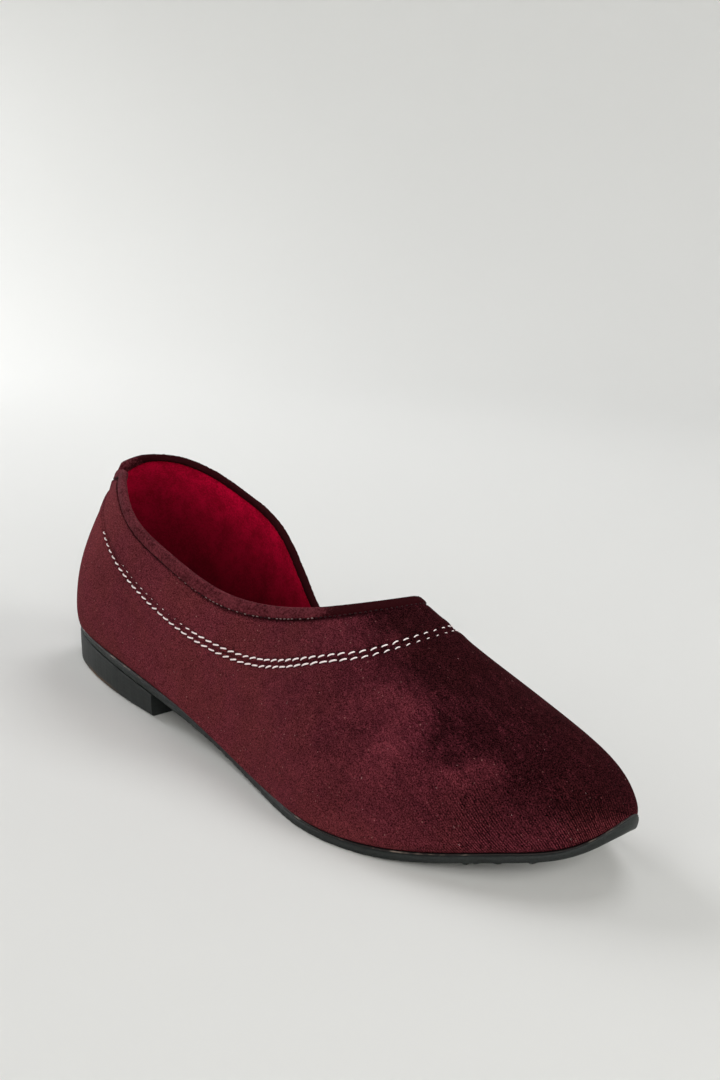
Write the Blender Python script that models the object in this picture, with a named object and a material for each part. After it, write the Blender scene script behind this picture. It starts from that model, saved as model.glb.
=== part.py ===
"""A right-foot closed slip-on loafer in velvet, as an assembly of its made pieces.

Frame: +X towards the toe, +Y towards the inner (medial) side of the foot, +Z up.
The floor is Z = 0. Lengths in the tables below are millimetres.

Every piece is worked out from one surface, the last that the shoe is made on.
The last is a row of ribs. Each rib rises from the feather line, where the upper
meets the sole, to the ridge along the top of the foot. The side-view height of
the collar then says where each rib is cut.
"""

import math
from typing import NamedTuple

import bmesh
import bpy
import numpy as np

MM = 0.001

# ---------------------------------------------------------------- driving sizes
LAST_LENGTH = 285.0
TIP_SIDE = 2.0
WALL = 1.6
FIT_GAP = 0.3
LINING_GAP = 0.32
SOLE_THICKNESS = 2.7
TAPE_THICKNESS = 0.55
TAPE_REACH = 2.9
TAPE_HEM = 0.3
INSOLE_THICKNESS = 2.4
HEEL_BREAST = 84.0
HEEL_TAPER = 0.8
HEEL_EDGE_ROUND = 1.2
HEEL_ROUND_SHARE = 0.3  # where the rounding's middle lies between its two ends
SOLE_EDGE_ROUND = 0.6
INSOLE_INSET = WALL + 3 * FIT_GAP

SOLE_DEPTH = FIT_GAP + SOLE_THICKNESS
EDGE_DROP = TAPE_THICKNESS + FIT_GAP + 0.1

# ------------------------------------------------------- how the shape is found
COLLAR_BLEND = 0.3  # sides nearer the ridge than this share both collar heights
LOWEST_COLLAR = 0.97  # the furthest side at which the collar may cut a rib
THROAT_SEARCH = (0.25, 0.75)
HALVINGS = 30
COLLAR_SAMPLES = 400
WALK_STEPS = 12
MOST_TURN, MOST_SIDE = 0.02, 0.03  # the longest hop of one walking step
SLOPE_STEP = 3.0
STEP = 1e-4  # the small change by which slopes are measured
TINY = 1e-12

# ------------------------------------------------- how finely each piece is cut
COLUMNS_PER_SIDE = 44
COLUMNS_INTO_TIP = 6
FEATHER_CROWDING = 2.5  # above 1, the columns' lower ends crowd towards the heel
ROWS_BELOW_TAPE = 13
SOLE_RIBS = 56
HEEL_RIBS = 18
MERGE_DISTANCE = 1e-7
SHARP_ANGLE = math.radians(40)


class Section(NamedTuple):
    """The last at one place along its length."""

    along: float  # per cent of LAST_LENGTH from the back of the heel
    outer: float  # half width at the feather line, little-toe side
    inner: float  # half width at the feather line, big-toe side
    seat: float  # height of the feather line above the floor
    rise: float  # height of the ridge above the feather line
    lean: float  # how far the rib leans forward at the ridge
    swell_outer: float  # how far the outer side swells past the feather line
    swell_inner: float  # how far the inner side swells past the feather line
    fullness: float  # below 1 is square-shouldered, above 1 is pinched
    ridge: float  # sideways place of the ridge
    margin: float  # how far the sole stands out past the feather line


SECTIONS = (
    Section(0.0, 0.0, 0.0, 18.0, 75.5, 22.5, 0.2, 5.5, 1.15, 0.0, 1.4),
    Section(3.0, 17.5, 17.0, 17.5, 81.0, 36.0, 2.2, 5.4, 1.28, 0.5, 1.3),
    Section(10.0, 27.0, 28.0, 16.4, 86.2, 23.5, 3.0, 4.6, 1.10, 1.0, 1.1),
    Section(22.0, 33.5, 33.0, 14.8, 89.6, 17.0, 2.4, 3.4, 0.75, 1.6, 1.2),
    Section(35.0, 37.0, 31.5, 11.0, 88.6, 7.2, 2.1, 1.0, 0.98, 2.2, 1.0),
    Section(48.0, 42.0, 30.0, 6.6, 82.8, 0.9, 2.4, -2.6, 1.50, 2.5, 0.9),
    Section(60.0, 50.5, 33.5, 3.6, 72.5, 0.0, 2.5, -1.5, 1.31, 2.7, 1.1),
    Section(70.0, 55.5, 38.0, 2.8, 61.1, 0.0, 2.2, -0.4, 1.22, 2.4, 1.4),
    Section(80.0, 48.5, 35.5, 3.8, 47.7, 0.0, 1.9, 0.5, 1.03, 2.0, 1.5),
    Section(90.0, 32.3, 27.0, 9.2, 33.4, 0.0, 1.5, 1.2, 1.04, 1.8, 1.5),
    Section(96.5, 16.5, 16.0, 13.7, 20.1, 0.0, 0.9, 0.9, 0.86, 1.8, 1.4),
    Section(100.0, 0.0, 0.0, 24.0, 0.0, 0.0, 0.0, 0.0, 0.90, TIP_SIDE, 0.4),
)


class CollarPoint(NamedTuple):
    """The collar's top edge seen from the side."""

    forward: float  # millimetres ahead of the back of the heel
    outer: float  # height above the floor, little-toe side
    inner: float  # height above the floor, big-toe side


COLLAR = (
    CollarPoint(0.0, 77.0, 77.0),
    CollarPoint(30.0, 86.6, 93.0),
    CollarPoint(60.0, 77.0, 80.5),
    CollarPoint(90.0, 67.6, 66.0),
    CollarPoint(120.0, 59.3, 39.0),
    CollarPoint(150.0, 61.6, 50.0),
    CollarPoint(185.0, 72.0, 70.0),
)

COLUMNS = {
    name: np.array([getattr(section, name) for section in SECTIONS])
    for name in Section._fields
}


# ------------------------------------------------------------- smooth columns
def round_spline(knots, values, period, at):
    """A smooth closed curve through the values, which repeats every period."""
    count = len(knots)
    steps = np.diff(np.append(knots, knots[0] + period))
    matrix = np.zeros((count, count))
    right = np.zeros(count)
    for i in range(count):
        before, after = steps[i - 1], steps[i]
        matrix[i, i - 1] += before
        matrix[i, i] += 2 * (before + after)
        matrix[i, (i + 1) % count] += after
        rise_after = (values[(i + 1) % count] - values[i]) / after
        rise_before = (values[i] - values[i - 1]) / before
        right[i] = 6 * (rise_after - rise_before)
    bend = np.linalg.solve(matrix, right)
    at = np.mod(at - knots[0], period) + knots[0]
    i = np.clip(np.searchsorted(knots, at, side="right") - 1, 0, count - 1)
    after = (i + 1) % count
    return between(knots[i], steps[i], values[i], values[after], bend[i], bend[after], at)


def open_spline(knots, values, at):
    """A smooth curve through the values, straight past each end."""
    count = len(knots)
    steps = np.diff(knots)
    matrix = np.eye(count)
    right = np.zeros(count)
    slopes = np.diff(values) / steps
    for i in range(1, count - 1):
        matrix[i, i - 1 : i + 2] = steps[i - 1], 2 * (steps[i - 1] + steps[i]), steps[i]
        right[i] = 6 * (slopes[i] - slopes[i - 1])
    bend = np.linalg.solve(matrix, right)
    i = np.clip(np.searchsorted(knots, at, side="right") - 1, 0, count - 2)
    return between(knots[i], steps[i], values[i], values[i + 1], bend[i], bend[i + 1], at)


def between(start, step, low, high, bend_low, bend_high, at):
    """One cubic piece of a spline."""
    a = (start + step - at) / step
    b = (at - start) / step
    return a * low + b * high + ((a**3 - a) * bend_low + (b**3 - b) * bend_high) * step**2 / 6


# ------------------------------------------------------------------- the last
# A place on the last is (turn, side). turn runs 0 at the back of the heel to 1
# at the tip. side runs -1 at the outer feather line, over the ridge at 0, to +1
# at the inner feather line. A turn below 0 carries on round the other side.


def turn_of(share):
    """The turn at a share of the last's length. It is finer at both ends."""
    return np.arccos(1 - 2 * np.asarray(share)) / math.pi


def share_of(turn):
    return (1 - np.cos(math.pi * turn)) / 2


KNOTS = turn_of(COLUMNS["along"] / 100)
LOOP_KNOTS = np.concatenate([KNOTS, 2 - KNOTS[-2:0:-1]])


def column(name, turn):
    """A column that is the same on both sides."""
    values = COLUMNS[name]
    return round_spline(LOOP_KNOTS, np.concatenate([values, values[-2:0:-1]]), 2.0, turn)


def loop_column(outer, inner, loop):
    """A column that runs out along the outer side and back along the inner side."""
    return round_spline(LOOP_KNOTS, np.concatenate([outer, inner[-2:0:-1]]), 2.0, loop)


def half_width(loop):
    outer = -COLUMNS["outer"]
    outer[-1] = TIP_SIDE
    return loop_column(outer, COLUMNS["inner"], loop)


def outward(loop):
    """The level direction that points out of the feather line."""
    along = LAST_LENGTH * (share_of(loop + STEP) - share_of(loop - STEP))
    across = half_width(loop + STEP) - half_width(loop - STEP)
    length = np.hypot(along, across) + TINY
    return across / length, -along / length


def last_point(turn, side):
    """Points of the last, as an array of X, Y, Z rows in millimetres."""
    turn, side = np.broadcast_arrays(np.asarray(turn, float), np.asarray(side, float))
    side = np.where(turn < 0, -side, side)
    turn = np.abs(turn)
    loop = np.where(side < 0, turn, 2 - turn)
    angle = (1 - np.abs(side)) * math.pi / 2
    swell = loop_column(COLUMNS["swell_outer"], COLUMNS["swell_inner"], loop)
    swell = swell * np.sin(2 * angle)
    fullness = column("fullness", turn)
    low = np.abs(np.cos(angle)) ** fullness
    high = np.abs(np.sin(angle)) ** fullness
    out_x, out_y = outward(loop)
    x = LAST_LENGTH * share_of(turn) + column("lean", turn) * (1 - np.cos(angle)) + swell * out_x
    y = column("ridge", turn) * (1 - low) + half_width(loop) * low + swell * out_y
    z = column("seat", turn) + column("rise", turn) * high
    return np.stack([x, y, z], -1)


def last_slopes(turn, side):
    """The two directions in which a place on the last can move."""
    by_turn = (last_point(turn + STEP, side) - last_point(turn - STEP, side)) / (2 * STEP)
    by_side = (last_point(turn, side + STEP) - last_point(turn, side - STEP)) / (2 * STEP)
    return by_turn, by_side


def last_normal(turn, side):
    by_turn, by_side = last_slopes(turn, side)
    normal = np.cross(by_turn, by_side)
    return normal / (np.linalg.norm(normal, axis=-1, keepdims=True) + TINY)


def smooth_step(value):
    value = np.clip(value, -1.0, 1.0)
    return value * (3 - value**2) / 2


def collar_height(forward, side, drop):
    """The collar's height at a place, lowered by drop. It turns smoothly from side to side."""
    forwards = np.array([point.forward for point in COLLAR])
    outer = open_spline(forwards, np.array([point.outer for point in COLLAR]), forward)
    inner = open_spline(forwards, np.array([point.inner for point in COLLAR]), forward)
    blend = smooth_step(side / COLLAR_BLEND)
    return (outer + inner) / 2 + blend * (inner - outer) / 2 - drop


def collar_side(turn, sign, drop):
    """How far down each rib the collar cuts it: 0 at the ridge, 1 at the feather line."""
    low = np.full(len(turn), LOWEST_COLLAR)
    high = np.zeros(len(turn))
    for _ in range(HALVINGS):
        middle = (low + high) / 2
        points = last_point(turn, sign * middle)
        over = points[:, 2] > collar_height(points[:, 0], sign * middle, drop)
        high = np.where(over, middle, high)
        low = np.where(over, low, middle)
    return (low + high) / 2


def throat_turn(drop):
    """The turn at which the collar crosses the ridge."""
    low, high = THROAT_SEARCH
    for _ in range(HALVINGS):
        middle = (low + high) / 2
        ridge = last_point(middle, 0.0)
        if ridge[2] > collar_height(ridge[0], 0.0, drop):
            low = middle
        else:
            high = middle
    return (low + high) / 2


def collar_places(drop, per_side):
    """Places round the collar's edge: back of the heel, outer side, throat, inner side."""
    turns = throat_turn(drop) * (1 - np.linspace(1, 0, COLLAR_SAMPLES) ** 2)
    halves = []
    for sign in (-1, 1):
        sides = sign * collar_side(turns, sign, drop)
        sides[-1] = 0.0
        hops = np.linalg.norm(np.diff(last_point(turns, sides), axis=0), axis=1)
        run = np.concatenate([[0], np.cumsum(hops)])
        at = np.linspace(0, run[-1], per_side + 1)
        halves.append((np.interp(at, run, turns), np.interp(at, run, sides)))
    (outer_turn, outer_side), (inner_turn, inner_side) = halves
    turn = np.concatenate([outer_turn, inner_turn[-2:0:-1]])
    side = np.concatenate([outer_side, inner_side[-2:0:-1]])
    return turn, side


def feather_places(collar_turn, per_side):
    """Where each column that starts at the collar ends: on the feather line, or at the tip."""
    count = per_side - COLUMNS_INTO_TIP
    share = np.linspace(0, 1, count + 1) ** FEATHER_CROWDING
    turn = (1 - share) * collar_turn[: count + 1] + share
    turn = np.concatenate([turn, np.ones(COLUMNS_INTO_TIP)])
    side = np.concatenate([np.ones(count), np.linspace(1, 0, COLUMNS_INTO_TIP + 1)])
    return np.concatenate([turn, turn[-2:0:-1]]), np.concatenate([-side, side[-2:0:-1]])


def walk(turn, side, target):
    """The place on the last that is nearest to each target point, from a place close by."""
    for _ in range(WALK_STEPS):
        by_turn, by_side = last_slopes(turn, side)
        miss = target - last_point(turn, side)
        tt = (by_turn * by_turn).sum(-1)
        ts = (by_turn * by_side).sum(-1)
        ss = (by_side * by_side).sum(-1)
        mt = (by_turn * miss).sum(-1)
        ms = (by_side * miss).sum(-1)
        # The last two terms keep a place near the tip, where the slopes run together, still.
        scale = tt * ss - ts * ts + 1e-6 * tt * ss + 1e-9
        turn = turn + np.clip((mt * ss - ms * ts) / scale, -MOST_TURN, MOST_TURN)
        side = side + np.clip((ms * tt - mt * ts) / scale, -MOST_SIDE, MOST_SIDE)
    return turn, side


# ----------------------------------------------------------------- mesh tools
def material(name, hex_colour, roughness):
    """A Principled material from an sRGB hex colour."""
    made = bpy.data.materials.new(name)
    made.use_nodes = True
    shader = made.node_tree.nodes["Principled BSDF"]
    parts = [int(hex_colour[i : i + 2], 16) / 255 for i in (1, 3, 5)]
    linear = [part / 12.92 if part <= 0.04045 else ((part + 0.055) / 1.055) ** 2.4 for part in parts]
    shader.inputs["Base Color"].default_value = (*linear, 1.0)
    shader.inputs["Roughness"].default_value = roughness
    return made


def add_piece(name, points, faces, finish):
    """A closed mesh object from points in millimetres, with its faces turned outward."""
    mesh = bpy.data.meshes.new(name)
    mesh.from_pydata((np.asarray(points) * MM).tolist(), [], faces)
    shape = bmesh.new()
    shape.from_mesh(mesh)
    bmesh.ops.remove_doubles(shape, verts=shape.verts, dist=MERGE_DISTANCE)
    bmesh.ops.triangulate(shape, faces=shape.faces, quad_method="SHORT_EDGE")
    bmesh.ops.recalc_face_normals(shape, faces=shape.faces)
    if shape.calc_volume(signed=True) < 0:
        bmesh.ops.reverse_faces(shape, faces=shape.faces)
    shape.to_mesh(mesh)
    shape.free()
    mesh.shade_smooth()
    mesh.set_sharp_from_angle(angle=SHARP_ANGLE)
    mesh.materials.append(finish)
    return bpy.data.objects.new(name, mesh)


def strip_faces(rings, size):
    """Quads round a closed row of rings, each ring being a closed row of size points."""
    faces = []
    for ring in range(rings):
        here, beside = ring * size, (ring + 1) % rings * size
        for place in range(size):
            after = (place + 1) % size
            faces.append((here + place, here + after, beside + after, beside + place))
    return faces


# --------------------------------------------------------------------- pieces
def collar_frame():
    """The collar's places, its edge points, and the direction down the shell at each."""
    turn, side = collar_places(EDGE_DROP, COLUMNS_PER_SIDE)
    edge = last_point(turn, side)
    run = np.roll(edge, -1, axis=0) - np.roll(edge, 1, axis=0)
    down = np.cross(run, last_normal(turn, side))
    down /= np.linalg.norm(down, axis=1, keepdims=True)
    return turn, side, edge, down


def blended(normals):
    """Normals evened out between neighbouring columns, so that a sharp back seam stays open inside."""
    total = normals + np.roll(normals, 1, axis=0) + np.roll(normals, -1, axis=0)
    return total / np.linalg.norm(total, axis=-1, keepdims=True)


def make_upper(finish):
    """The velvet shell. It is open at the collar and underneath."""
    turn, side, edge, down = collar_frame()
    places = [(turn, side)]
    for reach in (TAPE_REACH / 2, TAPE_REACH):
        places.append(walk(turn, side, edge + reach * down))
    tape_turn, tape_side = places[-1]
    end_turn, end_side = feather_places(turn, COLUMNS_PER_SIDE)
    for share in np.linspace(0, 1, ROWS_BELOW_TAPE + 1)[1:]:
        row_turn = tape_turn + share * (end_turn - tape_turn)
        row_side = tape_side + share * (end_side - tape_side)
        places.append((row_turn, row_side))

    # The wall stands on a level rim, so the lowest row is thickened level.
    out_x, out_y = outward(np.where(end_side < 0, end_turn, 2 - end_turn))
    normals = [blended(last_normal(*place)) for place in places[:-1]]
    normals.append(np.stack([out_x, out_y, np.zeros_like(out_x)], axis=-1))
    outside = [last_point(*place) for place in places]
    inside = [points - WALL * normal for points, normal in zip(outside, normals)]
    rings = outside + inside[::-1]
    points = np.stack(rings, axis=1).reshape(-1, 3)
    return add_piece("upper", points, strip_faces(len(turn), len(rings)), finish)


def make_collar_binding(finish):
    """The tape folded over the collar's edge, as one channel section carried round it."""
    turn, side, edge, down = collar_frame()
    outside = FIT_GAP + TAPE_THICKNESS
    lining = -(WALL + LINING_GAP)
    inside = lining - TAPE_THICKNESS
    middle = TAPE_REACH / 2
    # Each pair is the reach down the shell and the height above it.
    channel = (
        (TAPE_REACH, FIT_GAP + TAPE_HEM),
        (middle, outside),
        (0.0, outside),
        (-outside, FIT_GAP),
        (-outside, lining),
        (0.0, inside),
        (middle, inside),
        (TAPE_REACH, lining - TAPE_HEM),
        (TAPE_REACH, lining),
        (middle, lining),
        (-FIT_GAP, lining),
        (-FIT_GAP, FIT_GAP),
        (middle, FIT_GAP),
        (TAPE_REACH, FIT_GAP),
    )
    layers = {}
    for reach in sorted({reach for reach, _ in channel}):
        places = walk(turn, side, edge + reach * down)
        layers[reach] = last_point(*places), blended(last_normal(*places))
    rings = [layers[reach][0] + height * layers[reach][1] for reach, height in channel]
    points = np.stack(rings, axis=1).reshape(-1, 3)
    return add_piece("collar_binding", points, strip_faces(len(turn), len(channel)), finish)


def edge_place(turn, sign, outset):
    """A level place beside the feather line, as X and Y."""
    loop = turn if sign < 0 else 2 - turn
    out_x, out_y = outward(loop)
    return LAST_LENGTH * share_of(turn) + outset * out_x, half_width(loop) + outset * out_y


def slab(name, turns, section, level, finish, square_front=None):
    """A slab under the foot.

    section(turn) gives its (outset, layer) pairs from top to bottom, and
    level(forward, layer) gives the height of a layer at a place along the shoe.
    """
    points, sizes = [], []
    for turn in turns:
        pairs = section(turn)
        ring = [(*edge_place(turn, -1, outset), layer) for outset, layer in pairs]
        if turn not in (0.0, 1.0):
            ring += [(*edge_place(turn, 1, outset), layer) for outset, layer in reversed(pairs)]
        if square_front is not None and turn == turns[-1]:
            ring = [(square_front, y, layer) for _, y, layer in ring]
        sizes.append(len(ring))
        points.extend((x, y, level(x, layer)) for x, y, layer in ring)
    ring_size = max(sizes)
    starts = np.concatenate([[0], np.cumsum(sizes)])
    faces = []
    for i in range(len(turns) - 1):
        for row in range(ring_size):
            above = (row + 1) % ring_size
            face = []
            for ring, place in ((i, row), (i, above), (i + 1, above), (i + 1, row)):
                if place >= sizes[ring]:
                    place = ring_size - 1 - place
                corner = int(starts[ring]) + place
                if corner not in face:
                    face.append(corner)
            if len(face) > 2:
                faces.append(tuple(face))
    if sizes[-1] == ring_size:
        faces.append(tuple(range(int(starts[-2]), int(starts[-1]))))
    return add_piece(name, points, faces, finish)


def seat_at(forward):
    """The height of the feather line at a place along the shoe."""
    return float(column("seat", turn_of(min(max(forward / LAST_LENGTH, 0.0), 1.0))))


def below_seat(forward, depth):
    """The height of a surface that lies square below the seat by depth, but not under the floor."""
    climb = (seat_at(forward) - seat_at(forward - SLOPE_STEP)) / SLOPE_STEP
    return max(seat_at(forward) - depth * math.hypot(1, climb), 0.0)


def make_outsole(finish):
    def section(turn):
        margin = float(column("margin", turn))
        return (margin, "top"), (margin, "edge"), (margin - SOLE_EDGE_ROUND, "under")

    def level(forward, layer):
        under = below_seat(forward, SOLE_DEPTH)
        heights = {
            "top": below_seat(forward, FIT_GAP),
            "edge": under + SOLE_EDGE_ROUND,
            "under": under,
        }
        return heights[layer]

    return slab("outsole", np.linspace(0, 1, SOLE_RIBS + 1), section, level, finish)


def make_insole(finish):
    def section(turn):
        return (-INSOLE_INSET, INSOLE_THICKNESS), (-INSOLE_INSET, 0.0)

    def level(forward, lift):
        return seat_at(forward) + lift

    return slab("insole", np.linspace(0, 1, SOLE_RIBS + 1), section, level, finish)


def make_heel_block(finish):
    def section(turn):
        margin = float(column("margin", turn))
        foot = margin - HEEL_TAPER
        middle = HEEL_ROUND_SHARE * HEEL_EDGE_ROUND
        return (
            (margin, None),
            (foot, HEEL_EDGE_ROUND),
            (foot - middle, middle),
            (foot - HEEL_EDGE_ROUND, 0.0),
        )

    def level(forward, height):
        return below_seat(forward, SOLE_DEPTH + FIT_GAP) if height is None else height

    turns = np.linspace(0, turn_of(HEEL_BREAST / LAST_LENGTH), HEEL_RIBS)
    return slab("heel_block", turns, section, level, finish, square_front=HEEL_BREAST)


def stand_at_origin(pieces, group):
    """Parents the pieces to an empty that puts the middle of their box over the origin."""
    corners = np.concatenate([[vertex.co for vertex in piece.data.vertices] for piece in pieces])
    middle = (corners.min(0) + corners.max(0)) / 2
    holder = bpy.data.objects.new("loafer", None)
    holder.location = (-middle[0], -middle[1], -corners[:, 2].min())
    group.objects.link(holder)
    for piece in pieces:
        piece.parent = holder
        group.objects.link(piece)


def main():
    for old in list(bpy.data.objects):
        bpy.data.objects.remove(old)
    group = bpy.data.collections.new("slip_on_loafer")
    bpy.context.scene.collection.children.link(group)
    velvet = material("velvet", "#5a2028", 0.9)
    tape = material("binding_velvet", "#4a1c24", 0.85)
    lining = material("lining", "#8a0020", 0.9)
    rubber = material("sole_rubber", "#2f3433", 0.55)
    heel = material("heel_rubber", "#333436", 0.5)
    pieces = [
        make_upper(velvet),
        make_collar_binding(tape),
        make_insole(lining),
        make_outsole(rubber),
        make_heel_block(heel),
    ]
    stand_at_origin(pieces, group)


main()
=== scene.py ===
"""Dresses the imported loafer: velvet, lining, tape, stitching, sole and a small studio.

Lengths in the tables are millimetres on the last: forward from the back of the heel,
+Y towards the inner side of the foot, up from the floor.
"""

import math
from functools import partial
from typing import NamedTuple

import bmesh
import bpy
import numpy as np
from mathutils import Matrix, Vector


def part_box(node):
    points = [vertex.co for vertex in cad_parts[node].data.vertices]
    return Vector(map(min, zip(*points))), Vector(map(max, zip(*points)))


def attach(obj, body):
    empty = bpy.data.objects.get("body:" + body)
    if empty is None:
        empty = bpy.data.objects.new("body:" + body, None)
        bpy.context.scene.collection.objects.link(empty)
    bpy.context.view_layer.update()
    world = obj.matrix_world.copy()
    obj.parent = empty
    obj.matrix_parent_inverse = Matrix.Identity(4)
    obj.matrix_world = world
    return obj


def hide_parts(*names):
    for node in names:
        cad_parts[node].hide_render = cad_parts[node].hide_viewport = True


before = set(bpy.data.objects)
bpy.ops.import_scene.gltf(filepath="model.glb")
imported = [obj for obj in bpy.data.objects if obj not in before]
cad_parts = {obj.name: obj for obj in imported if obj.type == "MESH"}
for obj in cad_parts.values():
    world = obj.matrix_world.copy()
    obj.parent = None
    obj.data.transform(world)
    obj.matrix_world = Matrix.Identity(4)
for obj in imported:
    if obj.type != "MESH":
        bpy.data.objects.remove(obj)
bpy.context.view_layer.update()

bl_info = {
    "name": "Velvet Loafer",
    "version": (1, 0, 0),
    "blender": (4, 5, 0),
    "location": "View3D > Sidebar > Loafer",
    "description": "Builds a velvet slip-on on its packed frame, and the studio round it",
    "category": "Add Mesh",
}

MM = 0.001
BODY = "root"


# ---------------------------------------------------------------- driving sizes
LAST_LENGTH = 285.0
TIP_SIDE = 2.0
WALL = 1.6
FIT_GAP = 0.3
SOLE_THICKNESS = 2.7
TAPE_THICKNESS = 0.55
TAPE_REACH = 2.9
INSOLE_THICKNESS = 2.4
INSOLE_INSET = WALL + 3 * FIT_GAP
HEEL_BREAST = 84.0
HEEL_TAPER = 0.8
HEEL_EDGE_ROUND = 1.2
SOLE_DEPTH = FIT_GAP + SOLE_THICKNESS
EDGE_DROP = TAPE_THICKNESS + FIT_GAP + 0.1

# How places on the last are searched for, as shares of its turn and side.
COLLAR_BLEND = 0.3
LOWEST_COLLAR = 0.97
THROAT_SEARCH = (0.25, 0.75)
HALVINGS = 30
COLLAR_SAMPLES = 900
WALK_STEPS = 12
MOST_TURN, MOST_SIDE = 0.02, 0.03
DAMPING, LEAST_DAMPING = 1e-6, 1e-9
SLOPE_STEP = 3.0
STEP = 1e-4
TINY = 1e-12
FEATHER_CROWDING = 2.5

# Where the sole is trimmed closer to the last: at the waist, and round the back of the heel.
WAIST, WAIST_LENGTH = 138.0, 38.0
WAIST_TRIM = 0.2
HEEL_TRIM, HEEL_ROUND = 2.3, 48.0


class Section(NamedTuple):
    """The last at one place along its length."""

    along: float  # per cent of LAST_LENGTH from the back of the heel
    outer: float  # half width at the feather line, little-toe side
    inner: float  # half width at the feather line, big-toe side
    seat: float  # height of the feather line above the floor
    rise: float  # height of the ridge above the feather line
    lean: float  # how far the rib leans forward at the ridge
    swell_outer: float  # how far the outer side swells past the feather line
    swell_inner: float  # how far the inner side swells past the feather line
    fullness: float  # below 1 is square-shouldered, above 1 is pinched
    ridge: float  # sideways place of the ridge
    margin: float  # how far the sole stands out past the feather line


SECTIONS = (
    Section(0.0, 0.0, 0.0, 18.0, 75.5, 22.5, 0.2, 5.5, 1.15, 0.0, 1.4),
    Section(3.0, 17.5, 17.0, 17.5, 81.0, 36.0, 2.2, 5.4, 1.28, 0.5, 1.3),
    Section(10.0, 27.0, 28.0, 16.4, 86.2, 23.5, 3.0, 4.6, 1.10, 1.0, 1.1),
    Section(22.0, 33.5, 33.0, 14.8, 89.6, 17.0, 2.4, 3.4, 0.75, 1.6, 1.2),
    Section(35.0, 37.0, 31.5, 11.0, 88.6, 7.2, 2.1, 1.0, 0.98, 2.2, 1.0),
    Section(48.0, 42.0, 30.0, 6.6, 82.8, 0.9, 2.4, -2.6, 1.50, 2.5, 0.9),
    Section(60.0, 50.5, 33.5, 3.6, 72.5, 0.0, 2.5, -1.5, 1.31, 2.7, 1.1),
    Section(70.0, 55.5, 38.0, 2.8, 61.1, 0.0, 2.2, -0.4, 1.22, 2.4, 1.4),
    Section(80.0, 48.5, 35.5, 3.8, 47.7, 0.0, 1.9, 0.5, 1.03, 2.0, 1.5),
    Section(90.0, 32.3, 27.0, 9.2, 33.4, 0.0, 1.5, 1.2, 1.04, 1.8, 1.5),
    Section(96.5, 16.5, 16.0, 13.7, 20.1, 0.0, 0.9, 0.9, 0.86, 1.8, 1.4),
    Section(100.0, 0.0, 0.0, 24.0, 0.0, 0.0, 0.0, 0.0, 0.90, TIP_SIDE, 0.4),
)


class SideView(NamedTuple):
    """A line round the shoe as it is seen from the side."""

    forward: float
    outer: float
    inner: float


COLLAR = (
    SideView(0.0, 77.0, 77.0),
    SideView(30.0, 86.6, 93.0),
    SideView(60.0, 77.0, 80.5),
    SideView(90.0, 67.6, 66.0),
    SideView(120.0, 59.3, 39.0),
    SideView(150.0, 61.6, 50.0),
    SideView(185.0, 72.0, 70.0),
)

# The seam where the collar panel meets the vamp and quarters. Stitches run on both sides of it.
SEAM = (
    SideView(0.0, 76.0, 76.0),
    SideView(15.0, 74.5, 74.5),
    SideView(32.0, 67.8, 70.0),
    SideView(60.0, 54.6, 57.0),
    SideView(90.0, 44.9, 42.5),
    SideView(120.0, 39.4, 22.5),
    SideView(135.0, 39.2, 24.0),
    SideView(160.0, 45.2, 36.5),
    SideView(180.0, 52.7, 49.5),
    SideView(190.0, 56.2, 55.5),
    SideView(203.0, 63.6, 63.6),
    SideView(220.0, 73.0, 73.0),
)

COLUMNS = {
    name: np.array([getattr(section, name) for section in SECTIONS])
    for name in Section._fields
}


# -------------------------------------------------------------- the last's shape
def between(start, step, low, high, bend_low, bend_high, at):
    """One cubic piece of a spline."""
    a = (start + step - at) / step
    b = (at - start) / step
    return a * low + b * high + ((a**3 - a) * bend_low + (b**3 - b) * bend_high) * step**2 / 6


def round_spline(knots, values, period, at):
    """A smooth closed curve through the values, which repeats every period."""
    count = len(knots)
    steps = np.diff(np.append(knots, knots[0] + period))
    matrix = np.zeros((count, count))
    right = np.zeros(count)
    for i in range(count):
        before, after = steps[i - 1], steps[i]
        matrix[i, i - 1] += before
        matrix[i, i] += 2 * (before + after)
        matrix[i, (i + 1) % count] += after
        rise_after = (values[(i + 1) % count] - values[i]) / after
        rise_before = (values[i] - values[i - 1]) / before
        right[i] = 6 * (rise_after - rise_before)
    bend = np.linalg.solve(matrix, right)
    at = np.mod(at - knots[0], period) + knots[0]
    i = np.clip(np.searchsorted(knots, at, side="right") - 1, 0, count - 1)
    after = (i + 1) % count
    return between(knots[i], steps[i], values[i], values[after], bend[i], bend[after], at)


def open_spline(knots, values, at):
    """A smooth curve through the values, straight past each end."""
    count = len(knots)
    steps = np.diff(knots)
    matrix = np.eye(count)
    right = np.zeros(count)
    slopes = np.diff(values) / steps
    for i in range(1, count - 1):
        matrix[i, i - 1 : i + 2] = steps[i - 1], 2 * (steps[i - 1] + steps[i]), steps[i]
        right[i] = 6 * (slopes[i] - slopes[i - 1])
    bend = np.linalg.solve(matrix, right)
    i = np.clip(np.searchsorted(knots, at, side="right") - 1, 0, count - 2)
    return between(knots[i], steps[i], values[i], values[i + 1], bend[i], bend[i + 1], at)


def turn_of(share):
    """The turn, 0 at the heel's back to 1 at the tip, at a share of the last's length."""
    return np.arccos(1 - 2 * np.asarray(share)) / math.pi


def share_of(turn):
    """The share of the last's length at a turn."""
    return (1 - np.cos(math.pi * turn)) / 2


KNOTS = turn_of(COLUMNS["along"] / 100)
LOOP_KNOTS = np.concatenate([KNOTS, 2 - KNOTS[-2:0:-1]])


def column(name, turn):
    """A column that is the same on both sides."""
    values = COLUMNS[name]
    return round_spline(LOOP_KNOTS, np.concatenate([values, values[-2:0:-1]]), 2.0, turn)


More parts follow.
